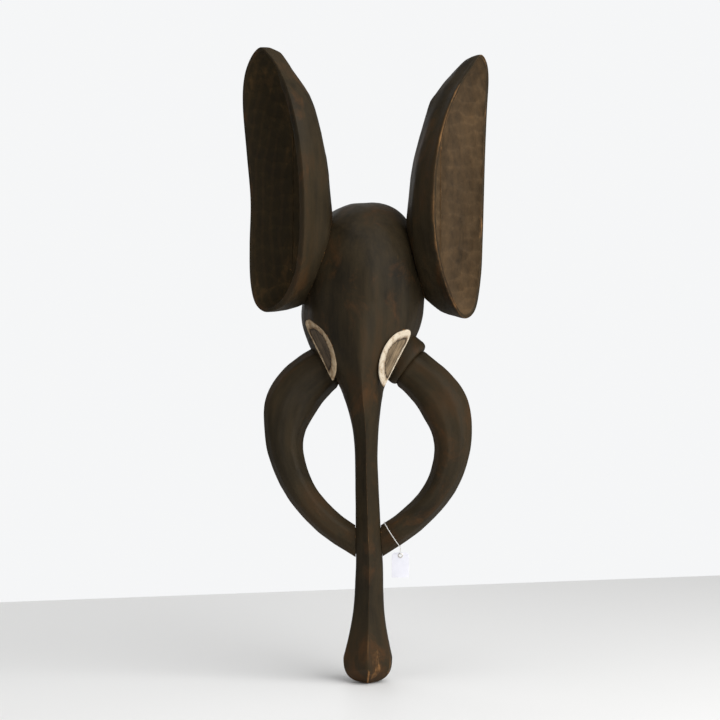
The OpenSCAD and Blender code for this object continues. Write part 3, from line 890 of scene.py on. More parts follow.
@dataclass
class HeadForm:
    """The carved surface of the head and trunk, from the crown to the foot.

    Args:
        rows: [height, half width, front, widest, back, front power, back power,
            drift]. Front, widest and back are distances forward of the flat back.
        crown_rise: Height of the crown above the first row.
        crown_power: How square the crown is, where 2 is an ellipse.
        foot_round: Drop of the foot's end below the last row.
        foot_power: How square the foot's end is.
        foot_forward: How far forward the foot's middle moves by its end.
        foot_centre: Where the chopped faces' distances are measured from.
        chops: Each face chopped on the foot's end: its outward direction and its
            distance from the foot's centre.
        keel: Height of the ridge down the front.
        keel_wide: Half width of that ridge.
        seat_gap: Gap between the head and a piece that is seated on it.
        dense: Rows read for the crown, the middle and the foot.
        facets: [height, then the angle and the share left for each facet].
    """

    rows: list = field(
        default_factory=lambda: [
            [-109, 86.5, 121, 10, -8, 2.3, 4, -6.5],
            [-136, 86.3, 125, 10, -8, 2.2, 4, -8.8],
            [-162, 79, 127, 10, -8, 2.05, 4, -10.2],
            [-189, 66.5, 127, 14, -8, 1.9, 4, -10],
            [-215, 43, 122, 22, -4, 1.7, 3, -9.5],
            [-231, 33, 117, 36, 8, 1.58, 2.6, -8.5],
            [-249, 26.25, 113, 72, 30, 1.5, 2.4, -7],
            [-277, 20.25, 107, 78, 50, 1.42, 2.3, -4.5],
            [-305, 17.05, 103, 78, 56, 1.4, 2.2, -3.2],
            [-347, 16.25, 100, 78, 56, 1.4, 2.2, -2.5],
            [-432, 18, 100, 78, 56, 1.4, 2.2, 0],
            [-482, 19.3, 101, 78, 56, 1.4, 2.2, 1.6],
            [-529, 21, 104, 79, 55, 1.42, 2.2, 0.9],
            [-557, 23.6, 108, 81, 54, 1.46, 2.2, 0.4],
            [-584, 28.6, 113, 83, 52, 1.45, 2.2, 0],
            [-610, 34.5, 117, 82, 47, 1.5, 2.2, -0.5],
        ]
    )
    crown_rise: float = 136.0
    crown_power: float = 2.5
    foot_round: float = 34.0
    foot_power: float = 2.7
    foot_forward: float = 3.0
    foot_centre: Triple = (0.0, -82.0, -610.0)
    chops: tuple = (((0.46, -0.62, -0.635), 31.0), ((-0.45, -0.67, -0.59), 31.3))
    keel: float = 2.2
    keel_wide: float = 17.0
    seat_gap: float = 0.3
    dense: tuple = (220, 900, 140)
    facets: list = field(
        default_factory=lambda: [
            [27, -38, 1.00, 36, 1.00, -76, 1.01, 74, 1.01, -140, 1.01, 140, 1.01],
            [-30, -37, 0.985, 35, 0.98, -74, 0.995, 73, 0.99, -140, 1.01, 140, 1.01],
            [-109, -35, 0.965, 33, 0.96, -72, 0.99, 72, 0.985, -140, 1.01, 140, 1.01],
            [-165, -36, 0.955, 34, 0.95, -74, 0.985, 74, 0.985, -140, 1.01, 140, 1.01],
            [-215, -42, 0.93, 41, 0.93, -80, 0.97, 80, 0.97, -137, 1.0, 137, 1.0],
            [-250, -44, 0.88, 43, 0.88, -84, 0.95, 84, 0.95, -135, 0.95, 135, 0.95],
            [-330, -45, 0.865, 43, 0.865, -88, 0.95, 84, 0.95, -133, 0.93, 133, 0.93],
            [-560, -45, 0.865, 43, 0.865, -88, 0.95, 83, 0.95, -133, 0.93, 133, 0.93],
            [-600, -45, 0.865, 42, 0.86, -90, 0.96, 80, 0.95, -133, 0.95, 133, 0.95],
            [-644, -45, 0.89, 42, 0.88, -90, 0.98, 78, 0.96, -133, 0.97, 133, 0.97],
        ]
    )

    def every_row(self) -> np.ndarray:
        """A dense run of rows from the crown's pole to the foot's."""
        first, last = np.array(self.rows[0], float), np.array(self.rows[-1], float)
        crown = []
        for a in np.radians(np.linspace(89.6, 0.4, self.dense[0])):
            k = math.cos(a) ** (2 / self.crown_power)
            rise = self.crown_rise * math.sin(a) ** (2 / self.crown_power)
            crown.append([first[0] + rise, *(first[1:5] * k), first[5], first[6], first[7] * k])
        middle = along(np.array(self.rows, float), np.linspace(0, len(self.rows) - 1, self.dense[1]))
        foot = []
        for a in np.radians(np.linspace(0.6, 89.6, self.dense[2])):
            k = math.cos(a) ** (2 / self.foot_power)
            fall = self.foot_round * math.sin(a) ** (2 / self.foot_power)
            c = last[3] + self.foot_forward * math.sin(a)
            foot.append([
                last[0] - fall, last[1] * k, c + (last[2] - last[3]) * k, c,
                c - (last[3] - last[4]) * k, last[5], last[6], last[7],
            ])
        return np.vstack([crown, middle, foot])

    def crease(self, points: np.ndarray) -> np.ndarray:
        """How near points are to the edge between the foot's two chopped faces, from 0 to 1."""
        p = points - self.foot_centre
        off = [np.abs(p @ unit(np.array(way)) - reach) for way, reach in self.chops]
        return 1 - ease(0.4, 1.8, np.max(off, axis=0))

    def rings(self, around: int, pitch: float, grow: float = 0.0) -> np.ndarray:
        """The surface as rings.

        Args:
            around: Points in a ring.
            pitch: Distance between rings along the surface, in millimetres.
            grow: How far the surface is moved outwards.

        Returns:
            The rings' points, as (ring, point, xyz).
        """
        rows = self.every_row()
        path = np.stack([rows[:, 0], rows[:, 1], (rows[:, 2] - rows[:, 4]) / 2], axis=1)
        finer = 1 + 0.8 * ease(-560, -600, path[1:, 0])
        run = np.concatenate([[0], np.cumsum(np.linalg.norm(np.diff(path, axis=0), axis=1) * finer)])
        at = np.linspace(0, run[-1], int(run[-1] / pitch))
        rows = np.stack([np.interp(at, run, rows[:, k]) for k in range(8)], axis=1)
        t = np.linspace(0, 2 * np.pi, 960, endpoint=False)[None, :]
        front = np.cos(t) >= 0
        z, half, fore, mid, back, fp, bp, drift = (rows[:, k][:, None] for k in range(8))
        power = np.where(front, 2 / fp, 2 / bp)
        x = (half + grow) * spow(np.sin(t), power)
        y = np.where(front, fore - mid + grow, mid - back + grow) * spow(np.cos(t), power)
        table = np.array(self.facets, float)[::-1]
        facets = np.stack(
            [np.interp(rows[:, 0], table[:, 0], table[:, k]) for k in range(1, table.shape[1])], axis=1
        ).reshape(len(rows), -1, 2)
        flat = planed(np.stack([x, y], axis=-1), facets)
        crest = self.keel * ease(20, -70, z) * np.exp(-((flat[..., 0] / self.keel_wide) ** 2))
        flat[..., 1] += np.where(flat[..., 1] > 0, crest * (1 - ease(-230, -290, z)), 0)
        dense = np.stack([drift + flat[..., 0], -mid - flat[..., 1], np.broadcast_to(z, x.shape)], axis=-1)
        for way, reach in self.chops:
            way = unit(np.array(way))
            over = np.maximum((dense - self.foot_centre) @ way - reach, 0)
            dense = dense - over[..., None] * way
        return np.stack([spaced_ring(ring, around) for ring in dense])

    def cutter(self) -> bpy.types.Object:
        """The head and trunk, grown by the gap that a seated piece keeps."""
        return Bench.loft("head_side", self.rings(around=120, pitch=3.0, grow=self.seat_gap))


@dataclass
class TuskForm:
    """The line and sections of one tusk, from its root to its joint with the trunk.

    Args:
        rows: [distance from the middle, distance forward, height, width, depth].
        left_fuller: How much wider the left tusk is at each row.
        right_out: How much further out the right tusk lies at each row.
        power: How square a section is, where 2 is an ellipse.
        last_u: Place along the rows where the tusk ends, inside the trunk.
        tip_u: Place along the rows where its peg starts.
    """

    side: Side
    rows: list = field(
        default_factory=lambda: [
            [58, 42, -205, 62, 46],
            [73, 46, -217, 64, 46],
            [93, 53, -237, 67, 46],
            [108, 61, -260, 68, 44],
            [116.5, 66, -290, 59, 42],
            [115.5, 70, -322, 50.5, 41],
            [103, 73, -360, 45, 39],
            [82, 75, -393, 41, 37],
            [50, 76, -425, 40, 34],
            [4, 76, -455, 39, 33],
        ]
    )
    left_fuller: tuple = (3, 6, 7, 5, 1, 0, 0, 0, 0, 0)
    right_out: tuple = (0, 0, 0, 0, 0, 1.5, 3, 3, 0, 0)
    power: float = 1.7
    last_u: float = 9.0
    tip_u: float = 8.4

    def __post_init__(self) -> None:
        """Gives each side's rows their own unevenness."""
        for row, fuller, out in zip(self.rows, self.left_fuller, self.right_out):
            if self.side is Side.LEFT:
                row[0] += 0.38 * fuller
                row[2] += 0.3 * fuller
                row[3] += fuller
            else:
                row[0] += out

    def at(self, u: np.ndarray) -> np.ndarray:
        """Points of the middle line."""
        r = along(np.array(self.rows, float), u)
        return np.stack([self.side.value * r[:, 0], -r[:, 1], r[:, 2]], axis=1)

    def way(self, u: np.ndarray) -> np.ndarray:
        """Directions of the middle line."""
        u = np.atleast_1d(np.asarray(u, float))
        return unit(self.at(u + 0.05) - self.at(np.maximum(u - 0.05, 0)))

    def frames(self, u: np.ndarray) -> tuple[np.ndarray, np.ndarray, np.ndarray]:
        """Middle points, and the directions across and into the section, at each place."""
        way = self.way(u)
        across = unit(np.cross(way, [0.0, 1.0, 0.0]))
        return self.at(u), across, np.cross(way, across)


# ---- Head and trunk --------------------------------------------------------


@dataclass
class HeadAndTrunk:
    """The head and trunk in one block, hollowed at the back.

    Args:
        hang: Start, end and radius of the hole that the mask hangs by.
        collars: For each side, the collar's radius and its shift outwards.
        collar_flat: Depth of a collar, as a share of its width.
        collar_l: Length of a collar, most of it in the cheek.
        collar_round: Length and depth of the rounding at a collar's mouth.
        seam: Gap between a collar and its tusk.
        eye_gap: Gap round the clay in an eye's pocket.
        pocket_walls: [height above the eye's floor, how far the wall has opened].
        chips: [place, radius, strength] of each worn or reddened spot.
    """

    form: HeadForm = field(default_factory=HeadForm)
    finish: StainedWood = field(default_factory=lambda: StainedWood("stained_head"))
    facets: AdzeMarks = AdzeMarks(
        spacing=26, depth=0.75, stretch=(1, 1, 0.62), wobble=1.6, wobble_size=55, seed=5
    )
    nicks: AdzeMarks = AdzeMarks(spacing=9, depth=0.22, stretch=(1, 1, 0.5), seed=9)
    gouges: AdzeMarks = AdzeMarks(spacing=15, depth=1.3, stretch=(1, 1, 0.6), lift=0.5, wobble=2.5, seed=3)
    hollow_centre: Triple = (-6.5, -17.5, -107.0)
    hollow_r: float = 70.5
    hollow_half_h: float = 82.0
    hang: tuple = ((0, -18, 0), (0, 5, 0), 4.0)
    collars: dict = field(default_factory=lambda: {Side.LEFT: (42.0, 8.0), Side.RIGHT: (36.0, 3.0)})
    collar_flat: float = 0.80
    collar_l: float = 36.0
    collar_round: tuple = (8.0, 4.5)
    seam: float = 0.3
    eye_gap: float = 0.3
    pocket_walls: tuple = ((0, 0), (2, 0.15), (8, 0.9), (60, 7.0))
    chips: tuple = (
        ((12, -104, -628), 30, 0.44), ((-20, -104, -634), 26, 0.42), ((12, -108, -608), 34, 0.34),
        ((-14, -110, -604), 34, 0.30), ((3, -104, -470), 40, 0.22), ((66, -60, -178), 12, 0.35),
        ((-80, -60, -170), 12, 0.3), ((50, -92, -195), 20, 0.3),
    )

    def build(self) -> bpy.types.Object:
        """Builds the block with its collars, hollow, eye pockets and holes."""
        material = self.finish.make()
        rings = self.form.rings(around=168, pitch=2.25)
        block = Bench.loft("head_wood", rings)
        # The marks are fainter on the trunk than on the head.
        on_head = ease(-300, -190, rings[..., 2].ravel())
        Bench.write(block, "grain", Bench.points(block))
        Bench.write(block, "carve", 0.35 + 0.65 * on_head)
        self.facets.carve(block, material)
        Bench.write(block, "carve", 0.5 + 0.5 * on_head)
        self.nicks.carve(block, material)
        joins = [self.collar(side) for side in Side]
        cutters = [self.back(), self.hollow(material), *(self.pocket(side) for side in Side)]
        cutters.append(Bench.rod("hang", *self.hang))
        for side in Side:
            cutters += PegBores(side).in_ear() + PegBores(side).in_tusk()
        Bench.cut(block, cutters, ["ridge"], joins)
        self.paint(block)
        Bench.finish(block, material)
        return block

    def paint(self, block: bpy.types.Object) -> None:
        """Stores what the finish reads: grain, wear, dish and chips."""
        p = Bench.points(block)
        Bench.write(block, "grain", p)
        Bench.wear(block)
        z = p[:, 2] / MM
        # The trunk is rubbed less than the head, and the foot more.
        rubbed = 0.5 - 0.20 * ease(-260, -300, z) + 0.9 * ease(-565, -606, z)
        Bench.write(block, "wear", Bench.read(block, "wear") * rubbed)
        q = (p / MM - self.hollow_centre) / (self.hollow_r, self.hollow_r, self.hollow_half_h)
        q[:, 1] = np.minimum(q[:, 1], 0)
        inside = (1 - ease(1.03, 1.06, np.linalg.norm(q, axis=1))) * (p[:, 1] < -0.0004)
        Bench.write(block, "dish", inside * 0.8)
        Bench.write(block, "chip", np.maximum(self.spots(p / MM), self.form.crease(p / MM)))

    def spots(self, points: np.ndarray) -> np.ndarray:
        """How strong the chips are at some points, each a soft round spot."""
        total = np.zeros(len(points))
        for place, radius, strength in self.chips:
            away = np.linalg.norm(points - np.array(place, float), axis=1)
            total = np.maximum(total, strength * (1 - ease(0.2, 1.0, away / radius)))
        return total

    def back(self) -> bpy.types.Object:
        """The slab that is planed off to make the back flat."""
        ring = np.array([[-200.0, 0, 100], [200, 0, 100], [200, 0, -700], [-200, 0, -700]])
        return Bench.loft("plane_off", np.stack([ring, ring + [0, 60, 0]]))

    def hollow(self, material: bpy.types.Material) -> bpy.types.Object:
        """The wearer's hollow, gouged out from the back.

        Args:
            material: The block's finish.

        Returns:
            The form to cut out.
        """
        t = np.linspace(0, 2 * np.pi, 120, endpoint=False)
        rings = []
        bowl = np.sin(np.radians(np.linspace(-89.2, 0, 46))) * self.hollow_r
        for y in np.concatenate([bowl, np.linspace(3, 40, 14)]):
            k = math.sqrt(max(1 - (min(y, 0) / self.hollow_r) ** 2, 0))
            rings.append(np.stack([
                self.hollow_centre[0] + self.hollow_r * k * np.cos(t),
                np.full_like(t, self.hollow_centre[1] + y),
                self.hollow_centre[2] + self.hollow_half_h * k * np.sin(t),
            ], axis=1))
        form = Bench.loft("hollow_form", np.array(rings))
        Bench.write(form, "grain", Bench.points(form))
        Bench.write(form, "carve", np.full(len(form.data.vertices), 1.0))
        return self.gouges.carve(form, material)

    def collar(self, side: Side) -> bpy.types.Object:
        """The oval collar that swells out of the cheek for a tusk's root.

        Args:
            side: Which tusk it holds.

        Returns:
            The collar's object, to be joined on.
        """
        tusk = TuskForm(side)
        at, across, deep = (v[0] for v in tusk.frames(np.array([0.0])))
        way = tusk.way(0.0)[0]
        radius, out = self.collars[side]
        length, depth = self.collar_round
        t = np.linspace(0, 2 * np.pi, 120, endpoint=False)[:, None]
        rings = []
        for a in np.radians(np.linspace(4, 90, 14)):
            back, grow = length * (1 - math.cos(a)), -depth * (1 - math.sin(a))
            wave = 1 + 0.022 * np.sin(3 * t + side.value) + 0.012 * np.sin(5 * t + 0.04 * back)
            reach = (across * np.cos(t) + deep * self.collar_flat * np.sin(t)) * (radius + grow) * wave
            rings.append(at + across * side.value * out - way * (self.seam + back) + reach)
        rings.append(rings[-1] - way * (self.collar_l - length))
        return Bench.loft("collar", np.array(rings))

    def pocket(self, side: Side) -> bpy.types.Object:
        """The cutter of a half-moon eye, from its floor outwards."""
        place = EyePlace(side)
        rings = []
        for h, grow in self.pocket_walls:
            ring = place.half_moon(place.radius() + self.eye_gap + grow, place.cut, 150)
            rings.append(place.lift(np.column_stack([ring, np.full(len(ring), float(h))])))
        return Bench.loft("pocket", np.array(rings))


@dataclass(frozen=True)
class PegBores:
    """The cutters of the bores for one side's pegs.

    Args:
        ear_drops: Depth of each ear peg below the hole that the mask hangs by.
        ear_across: Place of the ear pegs across the ear's opening.
        ear_into: Where the ear bores start and end behind the opening.
    """

    side: Side
    ear_drops: tuple = (25.0, 75.0)
    ear_across: float = -16.0
    ear_into: tuple = (35.0, 75.0)
    ear_r: float = 4.1
    tusk_l: float = 29.0
    tusk_r: float = 3.6

    def in_ear(self) -> list[bpy.types.Object]:
        """The bores through the ear into the head."""
        ear = EarForm(self.side)
        rods = []
        for drop in self.ear_drops:
            up = (-drop + ear.slip() - ear.foot[2]) / ear.height
            place = np.array([self.ear_across]), np.array([up])
            start, end = (ear.point(*place, np.array([into]))[0] for into in self.ear_into)
            rods.append(Bench.rod("ear_bore", start, end, self.ear_r))
        return rods

    def in_tusk(self) -> list[bpy.types.Object]:
        """The bore through the tusk's tip into the trunk."""
        tusk = TuskForm(self.side)
        start, end = tusk.at(tusk.tip_u)[0], tusk.at(tusk.last_u)[0]
        way = unit(end - start)
        return [Bench.rod("tusk_bore", start - way, start + way * self.tusk_l, self.tusk_r)]


# ---- Ears ------------------------------------------------------------------


@dataclass
class EarForm:
    """The outline and the body of a dished ear.

    Args:
        left_rim: Outline of the left ear's body, as shares of its width and height.
        right_rim: The right ear's.
        left_lip: Outline of the left ear's opening, as the same shares.
        right_lip: The right ear's.
        turn: How far the opening is turned from the front, in degrees.
        dish: Depth of the dish.
        dish_power: How flat the dish's floor is.
        dish_soft: How gently the floor meets its wall.
        spine: Ends of the line that the ear swells round, as shares of its height.
        foot: Place that the outline is measured from, on the right.
        shift: Sideways shift of both ears.
        body_top: Height where the body is thin.
        body_run: Drop over which it gets thicker.
        outer_power: How square the body's section is on each side.
        planes: [angle, share left] of the facets planed on the outside.
    """

    side: Side
    left_rim: list = field(
        default_factory=lambda: [
            [0.24, 1], [0.07, 0.96], [-0.29, 0.81], [-0.45, 0.67], [-0.5, 0.52], [-0.5, 0.36],
            [-0.45, 0.2], [-0.25, 0.08], [0.14, 0], [0.42, 0.1], [0.47, 0.25], [0.45, 0.42],
            [0.52, 0.6], [0.59, 0.78], [0.51, 0.92],
        ]
    )
    right_rim: list = field(
        default_factory=lambda: [
            [0.42, 1], [0.22, 0.955], [-0.04, 0.855], [-0.26, 0.74], [-0.42, 0.59], [-0.47, 0.43],
            [-0.42, 0.28], [-0.27, 0.165], [0.14, 0], [0.34, 0.07], [0.41, 0.2], [0.44, 0.38],
            [0.47, 0.56], [0.5, 0.76], [0.51, 0.92],
        ]
    )
    left_lip: list = field(
        default_factory=lambda: [
            [0.26, 1.0], [0.10, 0.975], [-0.08, 0.92], [-0.27, 0.82], [-0.43, 0.68], [-0.52, 0.52],
            [-0.54, 0.38], [-0.52, 0.25], [-0.43, 0.13], [-0.22, 0.04], [0.02, 0.005], [0.22, 0.0],
            [0.38, 0.035], [0.46, 0.12], [0.47, 0.25], [0.45, 0.42], [0.52, 0.6], [0.59, 0.78],
            [0.56, 0.89], [0.43, 0.965],
        ]
    )
    right_lip: list = field(
        default_factory=lambda: [
            [0.42, 0.998], [0.30, 0.975], [0.12, 0.92], [-0.08, 0.85], [-0.28, 0.74], [-0.43, 0.59],
            [-0.47, 0.45], [-0.45, 0.33], [-0.36, 0.215], [-0.19, 0.10], [0.02, 0.015], [0.18, 0.0],
            [0.33, 0.04], [0.42, 0.16], [0.45, 0.3], [0.47, 0.46], [0.49, 0.62], [0.52, 0.78],
            [0.55, 0.9], [0.52, 0.965],
        ]
    )
    width: float = 122.0
    height: float = 368.0
    turn: float = 50.0
    dish: float = 33.0
    dish_power: float = 2.2
    dish_soft: float = 0.9
    rim: float = 6.0
    spine: tuple = (0.16, 0.82)
    foot: Triple = (128.5, -80.0, -125.0)
    shift: float = -2.2
    body_top: float = 213.0
    body_run: float = 203.0
    thin: float = 42.0
    thicker: float = 38.0
    outer_power: dict = field(default_factory=lambda: {Side.LEFT: 3.5, Side.RIGHT: 2.4})
    planes: tuple = ((76, 0.985), (43, 0.965), (12, 0.99))

    def slip(self) -> float:
        """How much lower this ear sits than the left one."""
        return 9.0 if self.side is Side.RIGHT else 0.0

    def axes(self) -> tuple[np.ndarray, np.ndarray]:
        """Directions across the opening and into it."""
        a, s = math.radians(self.turn), self.side.value
        return (
            np.array([s * math.cos(a), math.sin(a), 0.0]),
            np.array([-s * math.sin(a), math.cos(a), 0.0]),
        )

    def point(self, across: np.ndarray, up: np.ndarray, into: np.ndarray) -> np.ndarray:
        """Points from their places across, up (as a share) and into the opening."""
        away, fore, low = self.foot
        base = np.array([self.side.value * away + self.shift, fore, low - self.slip()])
        wide, deep = self.axes()
        z = np.array([0.0, 0.0, self.height])
        return base + across[..., None] * wide + into[..., None] * deep + up[..., None] * z

    def body(self, up: np.ndarray) -> np.ndarray:
        """Depth of the ear's body at a height."""
        k = np.clip((self.body_top - (self.foot[2] + self.height * up)) / self.body_run, 0, 1)
        return self.thin + self.thicker * k * (1.4 - 0.4 * k)

    def surface(self, around: int, outer: int, inner: int) -> np.ndarray:
        """The whole surface as rings, from the back over the rim into the dish.

        Args:
            around: Points in a ring.
            outer: Rings on the outside.
            inner: Rings in the dish.

        Returns:
            Points as (ring, point, xyz).
        """
        left = self.side is Side.LEFT
        body, lip = (self.left_rim, self.left_lip) if left else (self.right_rim, self.right_lip)
        body, lip = self.outline(body, around), self.outline(lip, around)
        hub = np.stack([np.zeros(around), np.clip(lip[:, 1], *self.spine)], axis=1)
        far = (body - hub) * (self.width, self.height)
        near = (lip - hub) * (self.width, self.height)
        size = np.linalg.norm(near, axis=1)
        rings = []

        def ring(g: float, d: np.ndarray, depth: Callable[[np.ndarray], np.ndarray]) -> np.ndarray:
            """A ring of points.

            Args:
                g: Size of the ring, as a share of its outline.
                d: Outline, measured from the spine.
                depth: Gives the depth at each point's height.

            Returns:
                The ring's points.
            """
            up = hub[:, 1] + d[:, 1] * g / self.height
            return self.point(d[:, 0] * g, up, depth(up))

        angles = np.radians(np.linspace(88.5, 1.6, outer))
        power = 2 / self.outer_power[self.side]
        profile = np.stack([np.cos(angles) ** power, np.sin(angles) ** power], axis=-1)[None]
        for g, s in planed(profile, np.array([self.planes], float), 90)[0]:
            share = float(ease(0.0, 0.34, s))
            rings.append(ring(g, near + (far - near) * share, lambda up: s * self.body(up)))
        broad = 1 + (0.9 * ease(0.05, -0.25, lip[:, 0]) if left else 0)
        drawn = near * (np.maximum(size - self.rim * broad, 1) / size)[:, None]

        def bowl(g: float) -> np.ndarray:
            """A ring of the dish, at a share of its width."""
            deep = self.dish * (1 - g**self.dish_power) ** self.dish_soft
            return ring(g, drawn, lambda up: np.full_like(up, deep))

        into = bowl(0.985)
        share = (1.6 * broad / size)[:, None]
        rings.append(ring(1.0, near * (1 - share * 0.12), lambda up: np.full_like(up, 1.2)))
        rings.append(ring(1.0, near * (1 - share * 0.55), lambda up: np.full_like(up, 0.35)))
        for k in (1.0, 1.7, 2.3, 2.9):
            rings.append(ring(1.0, near * (1 - share * k), lambda up: np.full_like(up, 0.05)))
        rings.append(ring(1.0, near * (1 - share * 3.4), lambda up: np.full_like(up, 0.45)))
        rings.append(rings[-1] * 0.5 + into * 0.5)
        rings += [bowl(g) for g in np.linspace(0.985, 0.02, inner)]
        return np.array(rings)

    def outline(self, knots: list, count: int) -> np.ndarray:
        """A closed outline with its points spread by their direction from the ear's spine.

        Args:
            knots: Points of the outline, as shares of the ear's width and height.
            count: Points to return.

        Returns:
            The points, as the same shares.
        """
        line = along(np.array(knots, float), np.linspace(0, len(knots), 4000, endpoint=False), True)
        flat = line * (self.width, self.height)
        middle, half, r = 0.49 * self.height, 0.33 * self.height, 55.0
        up = flat[:, 1] - middle
        lift = up - np.clip(up, -half, half)
        turn = np.arctan2(np.abs(lift), flat[:, 0])
        cap = r * np.pi
        sides = np.where(flat[:, 0] > 0, up, 2 * half + cap - up)
        foot = 3 * half + cap + r * (np.pi - turn)
        place = np.where(lift > 0, half + r * turn, np.where(lift < 0, foot, sides))
        total = 4 * half + 2 * cap
        place = np.mod(place, total)
        order = np.argsort(place)
        at = np.linspace(0, total, count, endpoint=False)
        return np.stack([np.interp(at, place[order], line[order, k], period=total) for k in (0, 1)], axis=1)


@dataclass
class Ear:
    """A dished ear, glued and pegged to the side of the head."""

    side: Side
    finish: StainedWood
    head: HeadForm
    scoops: AdzeMarks = AdzeMarks(
        spacing=17, depth=0.8, stretch=(0.5, 1, 1), lift=0.9, wobble=1.8, wobble_size=50, seed=21
    )
    facets: AdzeMarks = AdzeMarks(
        spacing=24, depth=0.8, stretch=(1, 1, 0.5), wobble=1.4, wobble_size=50, seed=17
    )
    rubbed: float = 0.8
    outer: int = 58
    inner: int = 64

    def build(self) -> bpy.types.Object:
        """Builds the ear and seats it against the head."""
        form = EarForm(self.side)
        material = self.finish.make()
        name = f"{self.side.name.lower()}_ear_wood"
        rings = form.surface(around=520, outer=self.outer, inner=self.inner)
        ear = Bench.loft(name, rings)
        m, n = rings.shape[:2]
        # The marks fade out over a few rings on each side of the rim.
        order = np.repeat(np.arange(m, dtype=float), n)
        inside = ease(self.outer + 5, self.outer + 9, order)
        outside = 1 - ease(self.outer - 5, self.outer - 1, order)
        Bench.write(ear, "grain", self.grain(Bench.points(ear)))
        Bench.write(ear, "carve", inside)
        self.scoops.carve(ear, material)
        ridge = Bench.read(ear, "ridge")
        Bench.write(ear, "carve", outside)
        self.facets.carve(ear, material)
        Bench.write(ear, "ridge", ridge)
        Bench.write(ear, "dish", inside)
        Bench.cut(ear, [self.head.cutter(), *PegBores(self.side).in_ear()], ["ridge", "dish"])
        Bench.write(ear, "grain", self.grain(Bench.points(ear)))
        Bench.wear(ear)
        Bench.write(ear, "wear", Bench.read(ear, "wear") * self.rubbed)
        Bench.finish(ear, material)
        return ear

    def grain(self, points: np.ndarray) -> np.ndarray:
        """The ear's own directions: across, into the opening, and up."""
        wide, deep = EarForm(self.side).axes()
        return np.column_stack([points @ wide, points @ deep, points[:, 2]])


# ---- Tusks -----------------------------------------------------------------


@dataclass
class Tusk:
    """A curved tusk between the cheek's collar and the trunk.

    Args:
        root_in: How much narrower the root's edge is, as a share.
        root_l: Length over which it gets its full width.
        pared_to: How far forward the tip stays when it is pared.
        pared_from: Places along the rows where the paring begins and is complete.
        pared: Share of the wood in front that is pared away.
        rubbed: How much the edges are worn, and how much less at the joint.
        joint_fade: Distances from the end over which the wear fades.
        planes: [angle, share left] of the facets planed along the tusk.
    """

    side: Side
    finish: StainedWood
    head: HeadForm
    marks: AdzeMarks = AdzeMarks(
        spacing=20, depth=0.7, stretch=(1, 1, 0.5), wobble=1.4, wobble_size=45, seed=31
    )
    nicks: AdzeMarks = AdzeMarks(spacing=8, depth=0.2, stretch=(1, 1, 0.5), seed=33)
    around: int = 112
    root_in: float = 0.06
    root_l: float = 5.0
    pared_to: float = 78.0
    pared_from: tuple = (8.1, 8.75)
    pared: float = 0.8
    rubbed: tuple = (0.6, 0.55)
    joint_fade: tuple = (26.0, 14.0)
    planes: tuple = ((-62, 0.93), (4, 0.91), (58, 0.93), (-125, 0.95), (180, 0.93), (125, 0.95))

    def build(self) -> bpy.types.Object:
        """Builds the tusk and cuts its tip to the trunk."""
        form = TuskForm(self.side)
        material = self.finish.make()
        u = np.linspace(0, form.last_u, 900)
        run = np.concatenate([[0], np.cumsum(np.linalg.norm(np.diff(form.at(u), axis=0), axis=1))])
        # Rings stand close together at the root's edge.
        rings_at = np.concatenate([[0, 0.4, 1.0, 1.8, 2.8], np.arange(4, run[-1], 2.1), [run[-1]]])
        u = np.interp(rings_at, run, u)
        at, across, deep = form.frames(u)
        size = along(np.array(form.rows, float), u)[:, 3:5] / 2
        t = np.linspace(0, 2 * np.pi, 720, endpoint=False)[None, :]
        flat = np.stack([
            size[:, :1] * spow(np.cos(t), 2 / form.power), size[:, 1:] * spow(np.sin(t), 2 / form.power)
        ], axis=-1)
        flat = planed(flat, np.repeat(np.array([self.planes], float), len(u), axis=0))
        edge = 1 - self.root_in * (1 - np.clip(rings_at / self.root_l, 0, 1)) ** 2
        flat = flat * edge[:, None, None]
        dense = at[:, None] + flat[..., :1] * across[:, None] + flat[..., 1:] * deep[:, None]
        proud = np.maximum(-self.pared_to - dense[..., 1], 0)
        dense[..., 1] += proud * self.pared * ease(*self.pared_from, u)[:, None]
        rings = np.stack([spaced_ring(ring, self.around) for ring in dense])
        tusk = Bench.loft(f"{self.side.name.lower()}_tusk_wood", rings)
        grain = self.grain(Bench.points(tusk))
        Bench.write(tusk, "grain", grain)
        Bench.write(tusk, "carve", ease(0, 0.012, grain[:, 2]))
        self.marks.carve(tusk, material)
        self.nicks.carve(tusk, material)
        Bench.cut(tusk, [self.head.cutter(), *PegBores(self.side).in_tusk()], ["ridge"])
        grain = self.grain(Bench.points(tusk))
        Bench.write(tusk, "grain", grain)
        Bench.wear(tusk)
        begin, full = (run[-1] - away for away in self.joint_fade)
        joint = ease(begin, full, grain[:, 2] / MM)
        Bench.write(tusk, "wear", Bench.read(tusk, "wear") * (self.rubbed[0] - self.rubbed[1] * joint))
        Bench.finish(tusk, material)
        return tusk

    def grain(self, points: np.ndarray) -> np.ndarray:
        """The tusk's own directions: across, deep, and the run along its middle line.

        Args:
            points: Places in metres.

        Returns:
            The same places along those directions.
        """
        form = TuskForm(self.side)
        u = np.linspace(0, form.last_u, 240)
        at, across, deep = form.frames(u)
        run = np.concatenate([[0], np.cumsum(np.linalg.norm(np.diff(at, axis=0), axis=1))])
        result = np.empty_like(points)
        way = form.way(u)
        batch = 20000
        for start in range(0, len(points), batch):
            p = points[start : start + batch] / MM
            d = p[:, None] - at[None]
            k = (d * d).sum(-1).argmin(1)
            off = p - at[k]
            result[start : start + batch] = np.column_stack([
                (off * across[k]).sum(1), (off * deep[k]).sum(1), run[k] + (off * way[k]).sum(1)
            ]) * MM
        return result


# ---- Eyes ------------------------------------------------------------------


